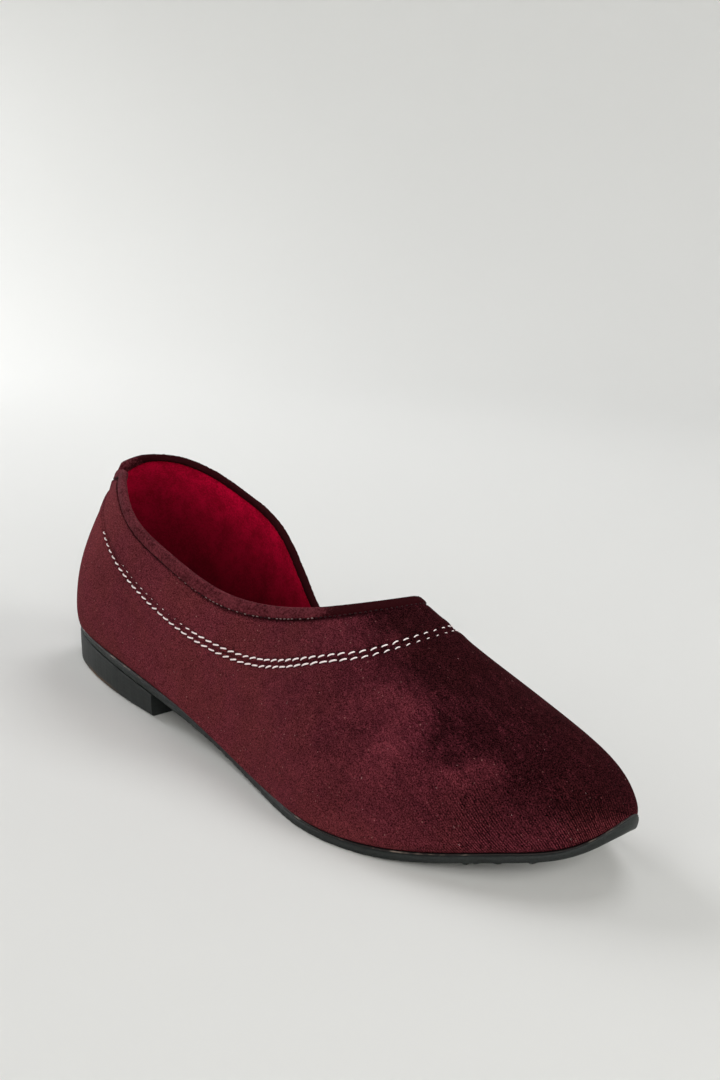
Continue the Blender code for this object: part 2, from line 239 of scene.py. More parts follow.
def loop_column(outer, inner, loop):
    """A column that runs out along the outer side and back along the inner side."""
    return round_spline(LOOP_KNOTS, np.concatenate([outer, inner[-2:0:-1]]), 2.0, loop)


def half_width(loop):
    """The feather line's sideways place, round the loop."""
    outer = -COLUMNS["outer"]
    outer[-1] = TIP_SIDE
    return loop_column(outer, COLUMNS["inner"], loop)


def outward(loop):
    """The level direction that points out of the feather line."""
    along = LAST_LENGTH * (share_of(loop + STEP) - share_of(loop - STEP))
    across = half_width(loop + STEP) - half_width(loop - STEP)
    length = np.hypot(along, across) + TINY
    return across / length, -along / length


def last_point(turn, side):
    """Points of the last. side is -1 at the outer feather line, 0 on the ridge, +1 inside."""
    turn, side = np.broadcast_arrays(np.asarray(turn, float), np.asarray(side, float))
    side = np.where(turn < 0, -side, side)
    turn = np.abs(turn)
    loop = np.where(side < 0, turn, 2 - turn)
    angle = (1 - np.abs(side)) * math.pi / 2
    swell = loop_column(COLUMNS["swell_outer"], COLUMNS["swell_inner"], loop)
    swell = swell * np.sin(2 * angle)
    fullness = column("fullness", turn)
    low = np.abs(np.cos(angle)) ** fullness
    high = np.abs(np.sin(angle)) ** fullness
    out_x, out_y = outward(loop)
    x = LAST_LENGTH * share_of(turn) + column("lean", turn) * (1 - np.cos(angle)) + swell * out_x
    y = column("ridge", turn) * (1 - low) + half_width(loop) * low + swell * out_y
    z = column("seat", turn) + column("rise", turn) * high
    return np.stack([x, y, z], -1)


def last_slopes(turn, side):
    by_turn = (last_point(turn + STEP, side) - last_point(turn - STEP, side)) / (2 * STEP)
    by_side = (last_point(turn, side + STEP) - last_point(turn, side - STEP)) / (2 * STEP)
    return by_turn, by_side


def unit(vectors):
    return vectors / (np.linalg.norm(vectors, axis=-1, keepdims=True) + TINY)


def last_normal(turn, side):
    by_turn, by_side = last_slopes(turn, side)
    return unit(np.cross(by_turn, by_side))


def smooth_step(value):
    value = np.clip(value, -1.0, 1.0)
    return value * (3 - value**2) / 2


def line_height(line, forward, side, drop=0.0):
    """The height of a side-view line at a place. It turns smoothly from side to side."""
    forwards = np.array([point.forward for point in line])
    outer = open_spline(forwards, np.array([point.outer for point in line]), forward)
    inner = open_spline(forwards, np.array([point.inner for point in line]), forward)
    blend = smooth_step(side / COLLAR_BLEND)
    return (outer + inner) / 2 + blend * (inner - outer) / 2 - drop


def halved(low, high, is_low):
    """The place between low and high up to which is_low holds, for numbers or rows of them."""
    for _ in range(HALVINGS):
        middle = (low + high) / 2
        under = is_low(middle)
        low, high = np.where(under, middle, low), np.where(under, high, middle)
    return (low + high) / 2


def collar_side(turn, sign, drop):
    """How far down each rib the collar cuts it: 0 at the ridge, 1 at the feather line."""

    def below_collar(side):
        points = last_point(turn, sign * side)
        return points[:, 2] <= line_height(COLLAR, points[:, 0], sign * side, drop)

    return halved(np.full(len(turn), LOWEST_COLLAR), np.zeros(len(turn)), below_collar)


def throat_turn(drop):
    """The turn at which the collar crosses the ridge."""

    def above_collar(turn):
        ridge = last_point(turn, 0.0)
        return ridge[2] > line_height(COLLAR, ridge[0], 0.0, drop)

    return halved(*THROAT_SEARCH, above_collar)


def collar_places(drop, per_side):
    """Places round the collar's edge: back of the heel, outer side, throat, inner side."""
    turns = throat_turn(drop) * (1 - np.linspace(1, 0, COLLAR_SAMPLES) ** 2)
    halves = []
    for sign in (-1, 1):
        sides = sign * collar_side(turns, sign, drop)
        sides[-1] = 0.0
        hops = np.linalg.norm(np.diff(last_point(turns, sides), axis=0), axis=1)
        run = np.concatenate([[0], np.cumsum(hops)])
        at = np.linspace(0, run[-1], per_side + 1)
        halves.append((np.interp(at, run, turns), np.interp(at, run, sides)))
    (outer_turn, outer_side), (inner_turn, inner_side) = halves
    turn = np.concatenate([outer_turn, inner_turn[-2:0:-1]])
    side = np.concatenate([outer_side, inner_side[-2:0:-1]])
    return turn, side


def feather_places(collar_turn, per_side, into_tip):
    """Where each column that starts at the collar ends: on the feather line, or at the tip."""
    count = per_side - into_tip
    share = np.linspace(0, 1, count + 1) ** FEATHER_CROWDING
    turn = (1 - share) * collar_turn[: count + 1] + share
    turn = np.concatenate([turn, np.ones(into_tip)])
    side = np.concatenate([np.ones(count), np.linspace(1, 0, into_tip + 1)])
    return np.concatenate([turn, turn[-2:0:-1]]), np.concatenate([-side, side[-2:0:-1]])


def walk(turn, side, target):
    """The place on the last that is nearest to each target point, from a place close by."""
    for _ in range(WALK_STEPS):
        by_turn, by_side = last_slopes(turn, side)
        miss = target - last_point(turn, side)
        tt = (by_turn * by_turn).sum(-1)
        ts = (by_turn * by_side).sum(-1)
        ss = (by_side * by_side).sum(-1)
        mt = (by_turn * miss).sum(-1)
        ms = (by_side * miss).sum(-1)
        scale = tt * ss - ts * ts + DAMPING * tt * ss + LEAST_DAMPING
        turn = turn + np.clip((mt * ss - ms * ts) / scale, -MOST_TURN, MOST_TURN)
        side = side + np.clip((ms * tt - mt * ts) / scale, -MOST_SIDE, MOST_SIDE)
    return turn, side


def edge_place(turn, sign, outset):
    """Level places beside the feather line, as X and Y."""
    loop = turn if sign < 0 else 2 - turn
    out_x, out_y = outward(loop)
    return LAST_LENGTH * share_of(turn) + outset * out_x, half_width(loop) + outset * out_y


def sole_margin(turn):
    """How far the sole stands out past the feather line, trimmed closer at waist and heel."""
    forward = LAST_LENGTH * share_of(turn)
    waist = WAIST_TRIM * hump(forward, WAIST, WAIST_LENGTH)
    return column("margin", turn) - waist - HEEL_TRIM * hump(forward, 0, HEEL_ROUND)


def seat_at(forward):
    """The height of the feather line at a place along the shoe."""
    return column("seat", turn_of(np.clip(forward / LAST_LENGTH, 0.0, 1.0)))


def below_seat(forward, depth):
    """The height of a surface square below the seat by depth, but not under the floor."""
    climb = (seat_at(forward) - seat_at(forward - SLOPE_STEP)) / SLOPE_STEP
    return np.maximum(seat_at(forward) - depth * np.hypot(1, climb), 0.0)


SOLE_RIBS = 56  # of the solid outsole, whose box they give


def row_shift():
    """From the last's own origin to the frame's, found from the outsole's box."""
    turns = np.linspace(0, 1, SOLE_RIBS + 1)
    margin = column("margin", turns)
    sides = [edge_place(turns, sign, margin) for sign in (-1, 1)]
    lowest = [min(side[axis].min() for side in sides) for axis in (0, 1)]
    low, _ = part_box("outsole")
    return np.array([low.x / MM - lowest[0], low.y / MM - lowest[1], 0.0])


SHIFT = row_shift()


# -------------------------------------------------------------------- mesh tools
def colour(hex_colour):
    """A linear RGBA colour from an sRGB hex value."""
    parts = [int(hex_colour[i : i + 2], 16) / 255 for i in (1, 3, 5)]
    return (*(x / 12.92 if x <= 0.04045 else ((x + 0.055) / 1.055) ** 2.4 for x in parts), 1.0)


def add_piece(name, points, faces, finish, replaced=(), values=None, sharp=60.0):
    """A mesh piece from points in millimetres on the last, riding on the shoe.

    values holds one number a point for each named attribute that its finish reads.
    """
    mesh = bpy.data.meshes.new(name)
    rows = (np.asarray(points).reshape(-1, 3) + SHIFT) * MM
    mesh.from_pydata(rows.tolist(), [], faces)
    for attribute, numbers in (values or {}).items():
        made = mesh.attributes.new(attribute, "FLOAT", "POINT")
        made.data.foreach_set("value", np.asarray(numbers, dtype=np.float32).ravel())
    shape = bmesh.new()
    shape.from_mesh(mesh)
    bmesh.ops.remove_doubles(shape, verts=shape.verts, dist=2e-7)
    bmesh.ops.recalc_face_normals(shape, faces=shape.faces)
    if shape.calc_volume(signed=True) < 0:
        bmesh.ops.reverse_faces(shape, faces=shape.faces)
    shape.to_mesh(mesh)
    shape.free()
    mesh.shade_smooth()
    mesh.set_sharp_from_angle(angle=math.radians(sharp))
    mesh.materials.append(finish)
    piece = bpy.data.objects.new(name, mesh)
    bpy.context.scene.collection.objects.link(piece)
    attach(piece, BODY)
    if replaced:
        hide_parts(*replaced)
    return piece


def ring_faces(rings, size, start=0, joined=False, first_cap=False, last_cap=False):
    """Quads between neighbouring closed rings of size points, and a cap at either end.

    start is the number of the first point. Joined rings run round and meet.
    """
    ring = np.arange(rings if joined else rings - 1)[:, None]
    place = np.arange(size)[None, :]
    here, beside = ring * size, (ring + 1) % rings * size
    after = (place + 1) % size
    quads = np.stack([here + place, here + after, beside + after, beside + place], -1)
    faces = (quads.reshape(-1, 4) + start).tolist()
    if first_cap:
        faces.append(list(range(start + size - 1, start - 1, -1)))
    if last_cap:
        last = start + (rings - 1) * size
        faces.append(list(range(last, last + size)))
    return faces


def evened(vectors, passes):
    """Unit vectors evened out between neighbouring columns."""
    for _ in range(passes):
        vectors = unit(vectors + np.roll(vectors, 1, axis=0) + np.roll(vectors, -1, axis=0))
    return vectors


def hump(value, middle, width):
    """A smooth bump of height 1."""
    return np.exp(-(((value - middle) / width) ** 2))


class Line(NamedTuple):
    """Something that is strongest at one place and fades out on both sides of it."""

    place: float
    width: float
    amount: float

    def at(self, distance):
        return self.amount * hump(distance, self.place, self.width)


def rise(value, start, length):
    """Climbs evenly from 0 at start to 1 a length further on. A negative length runs back."""
    return np.clip((value - start) / length, 0, 1)


class Climb(NamedTuple):
    """Something that sets in evenly over a length, and then stays."""

    start: float
    length: float
    amount: float

    def at(self, distance):
        return self.amount * rise(distance, self.start, self.length)


def tangents(line):
    """The direction of a closed line at each of its points."""
    return unit(np.roll(line, -1, axis=0) - np.roll(line, 1, axis=0))


def closed_run(line):
    """The distance walked at each point of a closed line, and once more at its first point."""
    hops = np.linalg.norm(np.roll(line, -1, axis=0) - line, axis=1)
    return np.concatenate([[0], np.cumsum(hops)])


def depth_below(points):
    """The distance walked down each column of points from its first row."""
    hops = np.linalg.norm(np.diff(points, axis=0), axis=2)
    return np.concatenate([np.zeros((1, points.shape[1])), np.cumsum(hops, axis=0)])


def corner_angles(sides):
    """The directions of the corners of a round section."""
    return np.arange(sides) * 2 * math.pi / sides


# ------------------------------------------------------------- places on the shoe
PER_SIDE = 264  # columns along each half of the collar
INTO_TIP = 36
PANEL_ROWS = 22
VAMP_ROWS = 56
VAMP_CROWDING = 1.7  # rows crowd towards the seam from below
EVEN_PASSES = 30
SHELL = 1.0  # the velvet and its backing, out of the whole wall
LINING_START = 1.08  # just clear of the backing
RANDOM_SEED = 20


class Patch(NamedTuple):
    """A soft-edged place on the outside of the upper."""

    forward: float
    side: float
    angle: float  # degrees that its long way turns from the toe direction, up the shoe
    long: float
    wide: float
    amount: float


# Soft hollows and swells that wear and the lasting left. Positive amounts stand out, in
# millimetres.
DENTS = (
    Patch(60.0, -0.55, 20.0, 34.0, 12.0, -0.5),
    Patch(120.0, -0.90, 5.0, 42.0, 8.0, -0.7),
    Patch(190.0, -0.70, 70.0, 20.0, 9.0, -0.45),
    Patch(214.0, -0.50, 40.0, 26.0, 9.0, -0.5),
    Patch(232.0, -0.55, 60.0, 14.0, 7.0, -0.35),
    Patch(150.0, 0.60, 20.0, 36.0, 14.0, -0.8),
    Patch(215.0, 0.45, -40.0, 24.0, 9.0, -0.5),
    Patch(250.0, 0.10, 0.0, 22.0, 14.0, 0.3),
    Patch(10.0, -0.75, 90.0, 22.0, 24.0, 1.2),
)

# How the pile lies, with painted shade and painted highlights in patches. Positive amounts are
# brushed back and coloured darker, negative ones lie over and are coloured lighter.
BRUSHED_AND_SHADED = (
    Patch(215.0, -0.05, 0.0, 60.0, 26.0, 0.75),
    Patch(246.0, -0.12, 0.0, 26.0, 20.0, 0.55),
    Patch(203.0, -0.18, 60.0, 16.0, 11.0, -0.36),
    Patch(177.0, -0.36, 0.0, 15.0, 12.0, -0.28),
    Patch(208.0, -0.40, 50.0, 18.0, 10.0, -0.45),
    Patch(220.0, -0.52, 60.0, 15.0, 9.0, -0.5),
    Patch(234.0, -0.46, 60.0, 6.0, 5.0, 0.45),
    Patch(248.0, -0.47, 40.0, 12.0, 8.0, -0.65),
    Patch(238.0, -0.60, 30.0, 10.0, 6.0, -0.25),
    Patch(32.0, -0.50, 60.0, 20.0, 10.0, -0.3),
    Patch(60.0, -0.80, 20.0, 26.0, 10.0, 0.1),
    Patch(215.0, 0.45, 0.0, 50.0, 22.0, 0.3),
)

# Where the pile is ruffled, and its strokes show most.
RUFFLED = (
    Patch(225.0, -0.45, 30.0, 34.0, 20.0, 1.0),
    Patch(180.0, -0.25, 60.0, 26.0, 22.0, 0.6),
    Patch(250.0, -0.15, 0.0, 26.0, 26.0, 0.35),
    Patch(210.0, 0.40, 0.0, 40.0, 22.0, 0.5),
    Patch(60.0, -0.80, 0.0, 30.0, 14.0, 0.25),
)


TAPE_WIDER = Line(115.0, 45.0, 1.2)  # by how far forward
OUTER_SIDE = Climb(0.0, -8.0, 1.0)  # by how far across


def collar_frame():
    """The collar's places, its edge points, and the direction down the shell at each."""
    turn, side = collar_places(EDGE_DROP, PER_SIDE)
    edge = last_point(turn, side)
    return turn, side, edge, unit(np.cross(tangents(edge), last_normal(turn, side)))


def tape_widening(edge):
    """How much further down the outer side the tape reaches than elsewhere."""
    return TAPE_WIDER.at(edge[:, 0]) * OUTER_SIDE.at(edge[:, 1])


class UpperPlaces(NamedTuple):
    """Rows of places from the collar's edge down to the feather line."""

    turn: np.ndarray
    side: np.ndarray
    seam_row: int
    tape_row: int


def upper_places():
    """The upper's rows: close together at the tape and on both sides of the seam."""
    turn, side, edge, down = collar_frame()
    tape = np.array(walk(turn, side, edge + TAPE_REACH * down))
    end = np.array(feather_places(turn, PER_SIDE, INTO_TIP))

    def above_seam(share):
        at = tape + share * (end - tape)
        points = last_point(*at)
        return points[:, 2] >= line_height(SEAM, points[:, 0], at[1])

    seam = halved(np.zeros(len(turn)), np.ones(len(turn)), above_seam)
    rows = [np.array([turn, side]), np.array(walk(turn, side, edge + TAPE_REACH / 2 * down))]
    tape_row = len(rows)
    for step in np.linspace(0, 1, PANEL_ROWS + 1):
        rows.append(tape + seam * step**2 * (3 - 2 * step) * (end - tape))
    seam_row = len(rows) - 1
    for step in np.linspace(0, 1, VAMP_ROWS + 1)[1:]:
        rows.append(tape + (seam + (1 - seam) * step**VAMP_CROWDING) * (end - tape))
    rows = np.array(rows)
    return UpperPlaces(rows[:, 0], rows[:, 1], seam_row, tape_row)


def turn_at(forward, side):
    """The turn at which a rib place is this far forward."""
    return halved(0.0, 1.0, lambda turn: last_point(turn, side)[0] < forward)


def patch_weight(patch, points):
    """How strongly a patch works at each point, from 0 to 1."""
    turn = turn_at(patch.forward, patch.side)
    centre = last_point(turn, patch.side)
    by_turn, by_side = last_slopes(np.array([turn]), np.array([patch.side]))
    normal = unit(np.cross(by_turn, by_side))[0]
    forward = unit(by_turn)[0]
    up = np.cross(normal, forward)
    if up[2] < 0:
        up = -up
    angle = math.radians(patch.angle)
    along = math.cos(angle) * forward + math.sin(angle) * up
    across = math.cos(angle) * up - math.sin(angle) * forward
    offset = points - centre
    reach = ((offset @ along) / patch.long) ** 2 + ((offset @ across) / patch.wide) ** 2
    return np.exp(-reach - ((offset @ normal) / (2 * patch.wide)) ** 2)


def seam_distance(points, seam_row):
    """Every point's distance from the seam, positive towards the collar, and from the edge."""
    run = depth_below(points)
    along = tangents(points[seam_row])
    down = unit(points[seam_row + 4] - points[seam_row - 3])
    square = np.sqrt(np.clip(1 - (along * down).sum(-1) ** 2, 0.05, 1.0))
    return (run[seam_row] - run) * square, run


# How the seam, its rows of stitches, the tape and the sole draw the velvet in, in millimetres,
# and how it puffs beside the rows, by the distance from each.
ROW_OFFSET = 1.28
SEAM_GROOVE = Line(0.0, 0.5, -0.6)
ROW_GROOVE = Line(ROW_OFFSET, 0.55, -0.4)
ROW_PUFF = Line(3.8, 1.9, 0.4)
TAPE_GROOVE = Line(0.6, 0.5, -0.8)
SOLE_TUCK = Line(0.0, 0.9, -0.55)
# Over the instep, where side is 0, the cloth is pulled tight and hardly puffs.
RIDGE_TIGHT = Line(0.0, 0.22, -0.75)

# Painted shade: how much darker the velvet is coloured in the grooves along the same lines, beside
# the tape, in the seam and under the stitches.
TAPE_GROOVE_SHADE = Line(1.1, 0.75, 2.0)
SEAM_GROOVE_SHADE = Line(0.0, 0.5, 0.35)
ROW_SHADE = Line(ROW_OFFSET + 0.2, 0.6, 0.35)


def upper_relief(places, points, from_seam, from_tape, to_sole):
    """How far each point of the velvet stands out from the last."""
    beside = np.abs(from_seam)
    relief = SEAM_GROOVE.at(from_seam) + ROW_GROOVE.at(beside) + ROW_PUFF.at(beside)
    relief += TAPE_GROOVE.at(from_tape)
    relief *= 1 + RIDGE_TIGHT.at(places.side)
    relief += SOLE_TUCK.at(to_sole)
    for dent in DENTS:
        relief += dent.amount * patch_weight(dent, points)
    return relief


# How far the velvet's lower edge stands out and drops at the waist, and turns in and drops at
# the back of the heel.
WRAP_WIDTH = 3.2
WAIST_WRAP_WIDTH = 1.6 * WRAP_WIDTH
WAIST_WRAP, WAIST_DROP = 1.5, 0.6
HEEL_TUCK, HEEL_DROP, HEEL_LAP = 0.75, 1.8, 30.0


def lower_wrap(places, points, to_sole):
    """The velvet's lower edge laps over the sole at the waist, and turns in over the heel."""
    forward = points[..., 0]
    waist = hump(to_sole, 0, WAIST_WRAP_WIDTH) * hump(forward, WAIST, WAIST_LENGTH)
    low = hump(to_sole, 0, WRAP_WIDTH)
    out_x, out_y = outward(np.where(places.side[-1] < 0, places.turn[-1], 2 - places.turn[-1]))
    outset = WAIST_WRAP * waist - HEEL_TUCK * low * hump(forward, 0, HEEL_ROUND)
    drop = WAIST_DROP * waist + HEEL_DROP * low * hump(forward, 0, HEEL_LAP)
    return np.stack([outset * out_x, outset * out_y, -drop], axis=-1)


# How dark the velvet is coloured where nothing has brushed it, for the pile's lay and as painted
# shade:
# everywhere, and from the instep on also at the sides, on top of the vamp where it faces up, and
# towards the toe.
LAY_PLAIN, LAY_SIDES, LAY_SHADE_ON_TOP = 0.12, 0.06, 0.55
AHEAD = Climb(120.0, 90.0, 1.0)
LAY_TOE = Climb(218.0, 25.0, 0.24)
# The twill shows towards the toe, and down from a height.
TWILL_TOE, TWILL_LOW = Climb(226.0, 24.0, 1.0), Climb(36.0, -14.0, 1.0)


def pile_lay_and_shade(points, normals, from_seam, from_tape):
    """How dark the velvet is coloured, by the pile's lay and as painted shade, how ruffled it is
    and how much twill shows, from 0 to 1.
    """
    forward, height = points[..., 0], points[..., 2]
    # Painted shade: the velvet is coloured darker where it faces up.
    upward = np.clip(normals[..., 2] * 1.1, 0, 1)
    lay_and_shade = LAY_PLAIN + AHEAD.at(forward) * (LAY_SIDES + LAY_SHADE_ON_TOP * upward) + LAY_TOE.at(forward)
    # Painted shade in the grooves beside the tape and the seam, and painted shadow under the
    # stitches.
    lay_and_shade += TAPE_GROOVE_SHADE.at(from_tape) + SEAM_GROOVE_SHADE.at(from_seam) + ROW_SHADE.at(np.abs(from_seam))
    lay_and_shade += sum(patch.amount * patch_weight(patch, points) for patch in BRUSHED_AND_SHADED)
    ruffled = sum(patch.amount * patch_weight(patch, points) for patch in RUFFLED)
    twill = TWILL_TOE.at(forward) * TWILL_LOW.at(height)
    return np.clip(lay_and_shade, 0, 1), np.clip(ruffled, 0, 1), twill


GIRTH_RIBS, GIRTH_STEPS = 200, 40


def down_cloth(turn, side):
    """How far each place is from the ridge, over the last. The outer side is negative."""
    turns = np.linspace(0, 1, GIRTH_RIBS)[:, None]
    shares = np.linspace(0, 1, GIRTH_STEPS)[None, :]
    reach = np.zeros_like(turn)
    for sign in (-1, 1):
        hops = np.linalg.norm(np.diff(last_point(turns, sign * shares), axis=1), axis=2)
        girth = np.interp(turn, turns[:, 0], hops.sum(axis=1))
        reach = np.where(np.sign(side) == sign, side * girth, reach)
    return reach


# --------------------------------------------------------------------- materials
def feed(tree, node, inputs):
    """Gives a node's inputs their values, or links them to other nodes' outputs.

    inputs is a dict by socket, or a row of values for the first sockets in order.
    """
    pairs = inputs.items() if isinstance(inputs, dict) else enumerate(inputs)
    for socket, value in pairs:
        if isinstance(value, bpy.types.NodeSocket):
            tree.links.new(value, node.inputs[socket])
        else:
            node.inputs[socket].default_value = value


def add_node(tree, kind, inputs=(), out=0, stops=(), **settings):
    """Adds a shader node with its settings and inputs, and returns one of its outputs.

    stops are a colour ramp's own settings: rows of a place and the colour there.
    """
    node = tree.nodes.new("ShaderNode" + kind)
    for name, value in settings.items():
        setattr(node, name, value)
    feed(tree, node, inputs)
    if stops:
        row = node.color_ramp.elements
        for element, stop in zip(row, (stops[0], stops[-1])):
            element.position, element.color = stop
        for place, tint in stops[1:-1]:
            row.new(place).color = tint
    return node.outputs[out]


def new_material(name):
    """An empty material, with one function that adds nodes to it and one that feeds its shader."""
    made = bpy.data.materials.new(name)
    made.use_nodes = True
    tree = made.node_tree
    return made, partial(add_node, tree), partial(feed, tree, tree.nodes["Principled BSDF"])


def per_size(size):
    """The scale of a pattern whose features have this size, in millimetres."""
    return 1 / (size * MM)


WAVE_SCALE = 0.314  # of a wave whose bands are one unit apart

# Sizes of the velvet's own patterns, in millimetres.
TUFT = 0.45  # the real tufts are 0.2, and are drawn coarser so that they show
TWILL_PITCH = 1.0  # the real ribs are half as wide, and are drawn coarser too
TWILL_ANGLE = math.radians(-25)
STROKE_ANGLE = math.radians(-12)
BROAD_STROKE = (9.0, 4.0, 1.0)
FINE_STROKE = (2.2, 0.9, 1.0)
CLOUD_SIZE = 16.667
FADED_SIZE = 22.222
GLINT_SPACING, GLINT_RADIUS = 2.1, 0.12  # the radius is a share of the spacing
BROWNER = (0.99, 1.08, 0.88)


def velvet_material(name, settings):
    """Cotton velvet, woven and cut to a short pile.

    The eye sees a deep matt red that lightens where the pile lies over, in soft strokes where a
    hand has ruffled it, with the pile's fine grain and diagonal ribs where the ground weave shows.
    Its light and dark tones also carry painted light and shade, and pale glints are painted on
    tufts.
    """
    made, add, dress = new_material(name)
    place = add("TexCoord", out="Object")
    lay_and_shade, ruffled, twill, forward, down = (
        add("Attribute", out="Fac", attribute_name=kind)
        for kind in ("lay_and_shade", "ruffled", "twill", "forward", "down")
    )
    # The cloth's own directions, turned to its strokes and to its ribs.
    cloth = add("CombineXYZ", (forward, down))
    ways = (BROAD_STROKE, STROKE_ANGLE), (FINE_STROKE, STROKE_ANGLE), ((1, 1, 1), TWILL_ANGLE)
    broad_way, fine_way, rib_way = (
        add(
            "Mapping",
            {"Vector": cloth, "Rotation": (0, 0, angle), "Scale": size},
            vector_type="TEXTURE",
        )
        for size, angle in ways
    )
    stroke = {"Scale": 1, "Detail": 3, "Roughness": 0.7, "Distortion": 0.5}
    broad, fine = (add("TexNoise", {"Vector": way, **stroke}) for way in (broad_way, fine_way))
    cloud = add(
        "TexNoise", {"Vector": place, "Scale": per_size(CLOUD_SIZE), "Detail": 6, "Roughness": 0.68}
    )
    # The strokes and clouds push the pile's lay up and down, most where it is ruffled.
    broad_push = add("MapRange", (broad, 0.3, 0.7, -0.28, 0.28))
    fine_push = add("MapRange", (fine, 0.3, 0.7, -0.3, 0.3))
    cloud_push = add("MapRange", (cloud, 0.3, 0.7, -0.2, 0.2))
    push = add("Math", (cloud_push, add("Math", (broad_push, fine_push))))
    strength = add("MapRange", (ruffled, 0.0, 1.0, 0.28, 0.9))
    total = add("Math", (lay_and_shade, add("Math", (push, strength), operation="MULTIPLY")))
    # The tones run from light to dark with the lay, which holds painted light and shade as well as
    # the pile's lay.
    tones = settings.velvet_light, settings.velvet_middle, settings.velvet_dark
    tone = add("ValToRGB", (total,), stops=tuple(zip((0.0, 0.5, 1.0), tones)))
    # Here and there the dye has turned a little browner, but not where a hand has ruffled the pile.
    faded = add("TexNoise", {"Vector": place, "Scale": per_size(FADED_SIZE), "Detail": 2})
    fading = add("MapRange", (faded, 0.42, 0.58, 0.3, 0.9))
    smooth = add("MapRange", (ruffled, 0.0, 1.0, 1.0, 0.0))
    fading = add("Math", (fading, smooth), operation="MULTIPLY")
    browner = add("VectorMath", (tone, BROWNER), operation="MULTIPLY")
    tone = add("Mix", {0: fading, 6: tone, 7: browner}, 2, data_type="RGBA")
    # The tufts' grain stands out more where the velvet is coloured dark, by its lay and painted
    # shade.
    tufts = {"Scale": per_size(TUFT), "Detail": 2, "Roughness": 0.75}
    grain = add("TexNoise", {"Vector": place, **tufts})
    speckle = add("MapRange", (grain, 0.34, 0.66, -1.0, 1.0))
    contrast = add("MapRange", (lay_and_shade, 0.0, 1.0, 0.68, 1.35))
    speckle = add("Math", (speckle, contrast, 1.0), operation="MULTIPLY_ADD")
    tone = add("VectorMath", {0: tone, "Scale": speckle}, operation="SCALE")
    # The ground weave's ribs show in patches, where the pile is thin.
    ribs = add(
        "TexWave",
        {
            "Vector": rib_way,
            "Scale": WAVE_SCALE / TWILL_PITCH,
            "Distortion": 1.2,
            "Detail": 1,
            "Detail Scale": 0.3,
        },
        "Fac",
        bands_direction="Y",
    )
    cloudy = add("MapRange", (cloud, 0.38, 0.62, 0.1, 1.0))
    broken = add("MapRange", (fine, 0.4, 0.6, 0.2, 1.3))
    thin = add("Math", (twill, cloudy), operation="MULTIPLY")
    thin = add("Math", (thin, broken), operation="MULTIPLY")
    ribs = add("Math", (ribs, 0.5), operation="SUBTRACT")
    ribs = add("Math", (ribs, thin), operation="MULTIPLY")
    shade = add("Math", (ribs, 2.3, 1.0), operation="MULTIPLY_ADD")
    tone = add("VectorMath", {0: tone, "Scale": shade}, operation="SCALE")
    # Painted glints: a tuft here and there is coloured pale as if it caught the light, least where
    # the velvet is coloured dark.
    near = add("TexVoronoi", {"Vector": place, "Scale": per_size(GLINT_SPACING)}, "Distance")
    chance = add("SeparateColor", (near.node.outputs["Color"],))
    chance = add("Math", (chance, 3.0), operation="POWER")
    caught = add("MapRange", (lay_and_shade, 0.0, 1.0, 1.0, 0.25))
    caught = add("Math", (chance, caught), operation="MULTIPLY")
    glint = add("Math", (near, GLINT_RADIUS), operation="LESS_THAN")
    glint = add("Math", (glint, caught), operation="MULTIPLY")
    tone = add("Mix", {0: glint, 6: tone, 7: colour("#a26f6b")}, 2, data_type="RGBA")
    height = add("Math", (ribs, grain))
    dress(
        {
            "Base Color": tone,
            "Normal": add("Bump", {"Height": height, "Strength": 0.6, "Distance": 0.24 * MM}),
            "Roughness": 0.95,
            "Specular IOR Level": 0.01,
            "Sheen Weight": settings.velvet_sheen,
            "Sheen Roughness": 0.4,
            "Sheen Tint": colour("#a8505c"),
        }
    )
    return made


TAPE_NAP = 0.9  # rubbed into small knots of pile, drawn coarser so that they show
TAPE_WORN_SIZE = 7.6923


def tape_material(settings):
    """Velvet tape, folded with its pile rubbed flat: duller and a little greyer than the upper."""
    made, add, dress = new_material("folded_velvet_tape")
    place = add("TexCoord", out="Object")
    lay_and_shade = add("Attribute", out="Fac", attribute_name="lay_and_shade")
    knots = {"Scale": per_size(TAPE_NAP), "Detail": 3, "Roughness": 0.85}
    nap = add("TexNoise", {"Vector": place, **knots})
    patches = {"Scale": per_size(TAPE_WORN_SIZE), "Detail": 4, "Roughness": 0.6}
    wear_and_shade = add("TexNoise", {"Vector": place, **patches})
    uneven = add("Math", (wear_and_shade, 0.16, -0.08), operation="MULTIPLY_ADD")
    both = add("Math", (nap, 0.5, uneven), operation="MULTIPLY_ADD")
    # The pile's lay and painted shade darken it.
    both = add("Math", (both, lay_and_shade), operation="SUBTRACT")
    stops = (0.17, settings.tape_dark), (0.31, settings.tape_light)
    dress(
        {
            "Base Color": add("ValToRGB", (both,), stops=stops),
            "Normal": add("Bump", {"Height": nap, "Strength": 0.9, "Distance": 0.4 * MM}),
            "Roughness": 0.9,
            "Specular IOR Level": 0.03,
            "Sheen Weight": settings.velvet_sheen,
            "Sheen Roughness": 0.4,
            "Sheen Tint": colour("#a05a60"),
        }
    )
    return made


LINING_NAP = 0.8  # the real nap is much finer, and is drawn coarser so that it shows
LINING_CLOUD = 9.0909


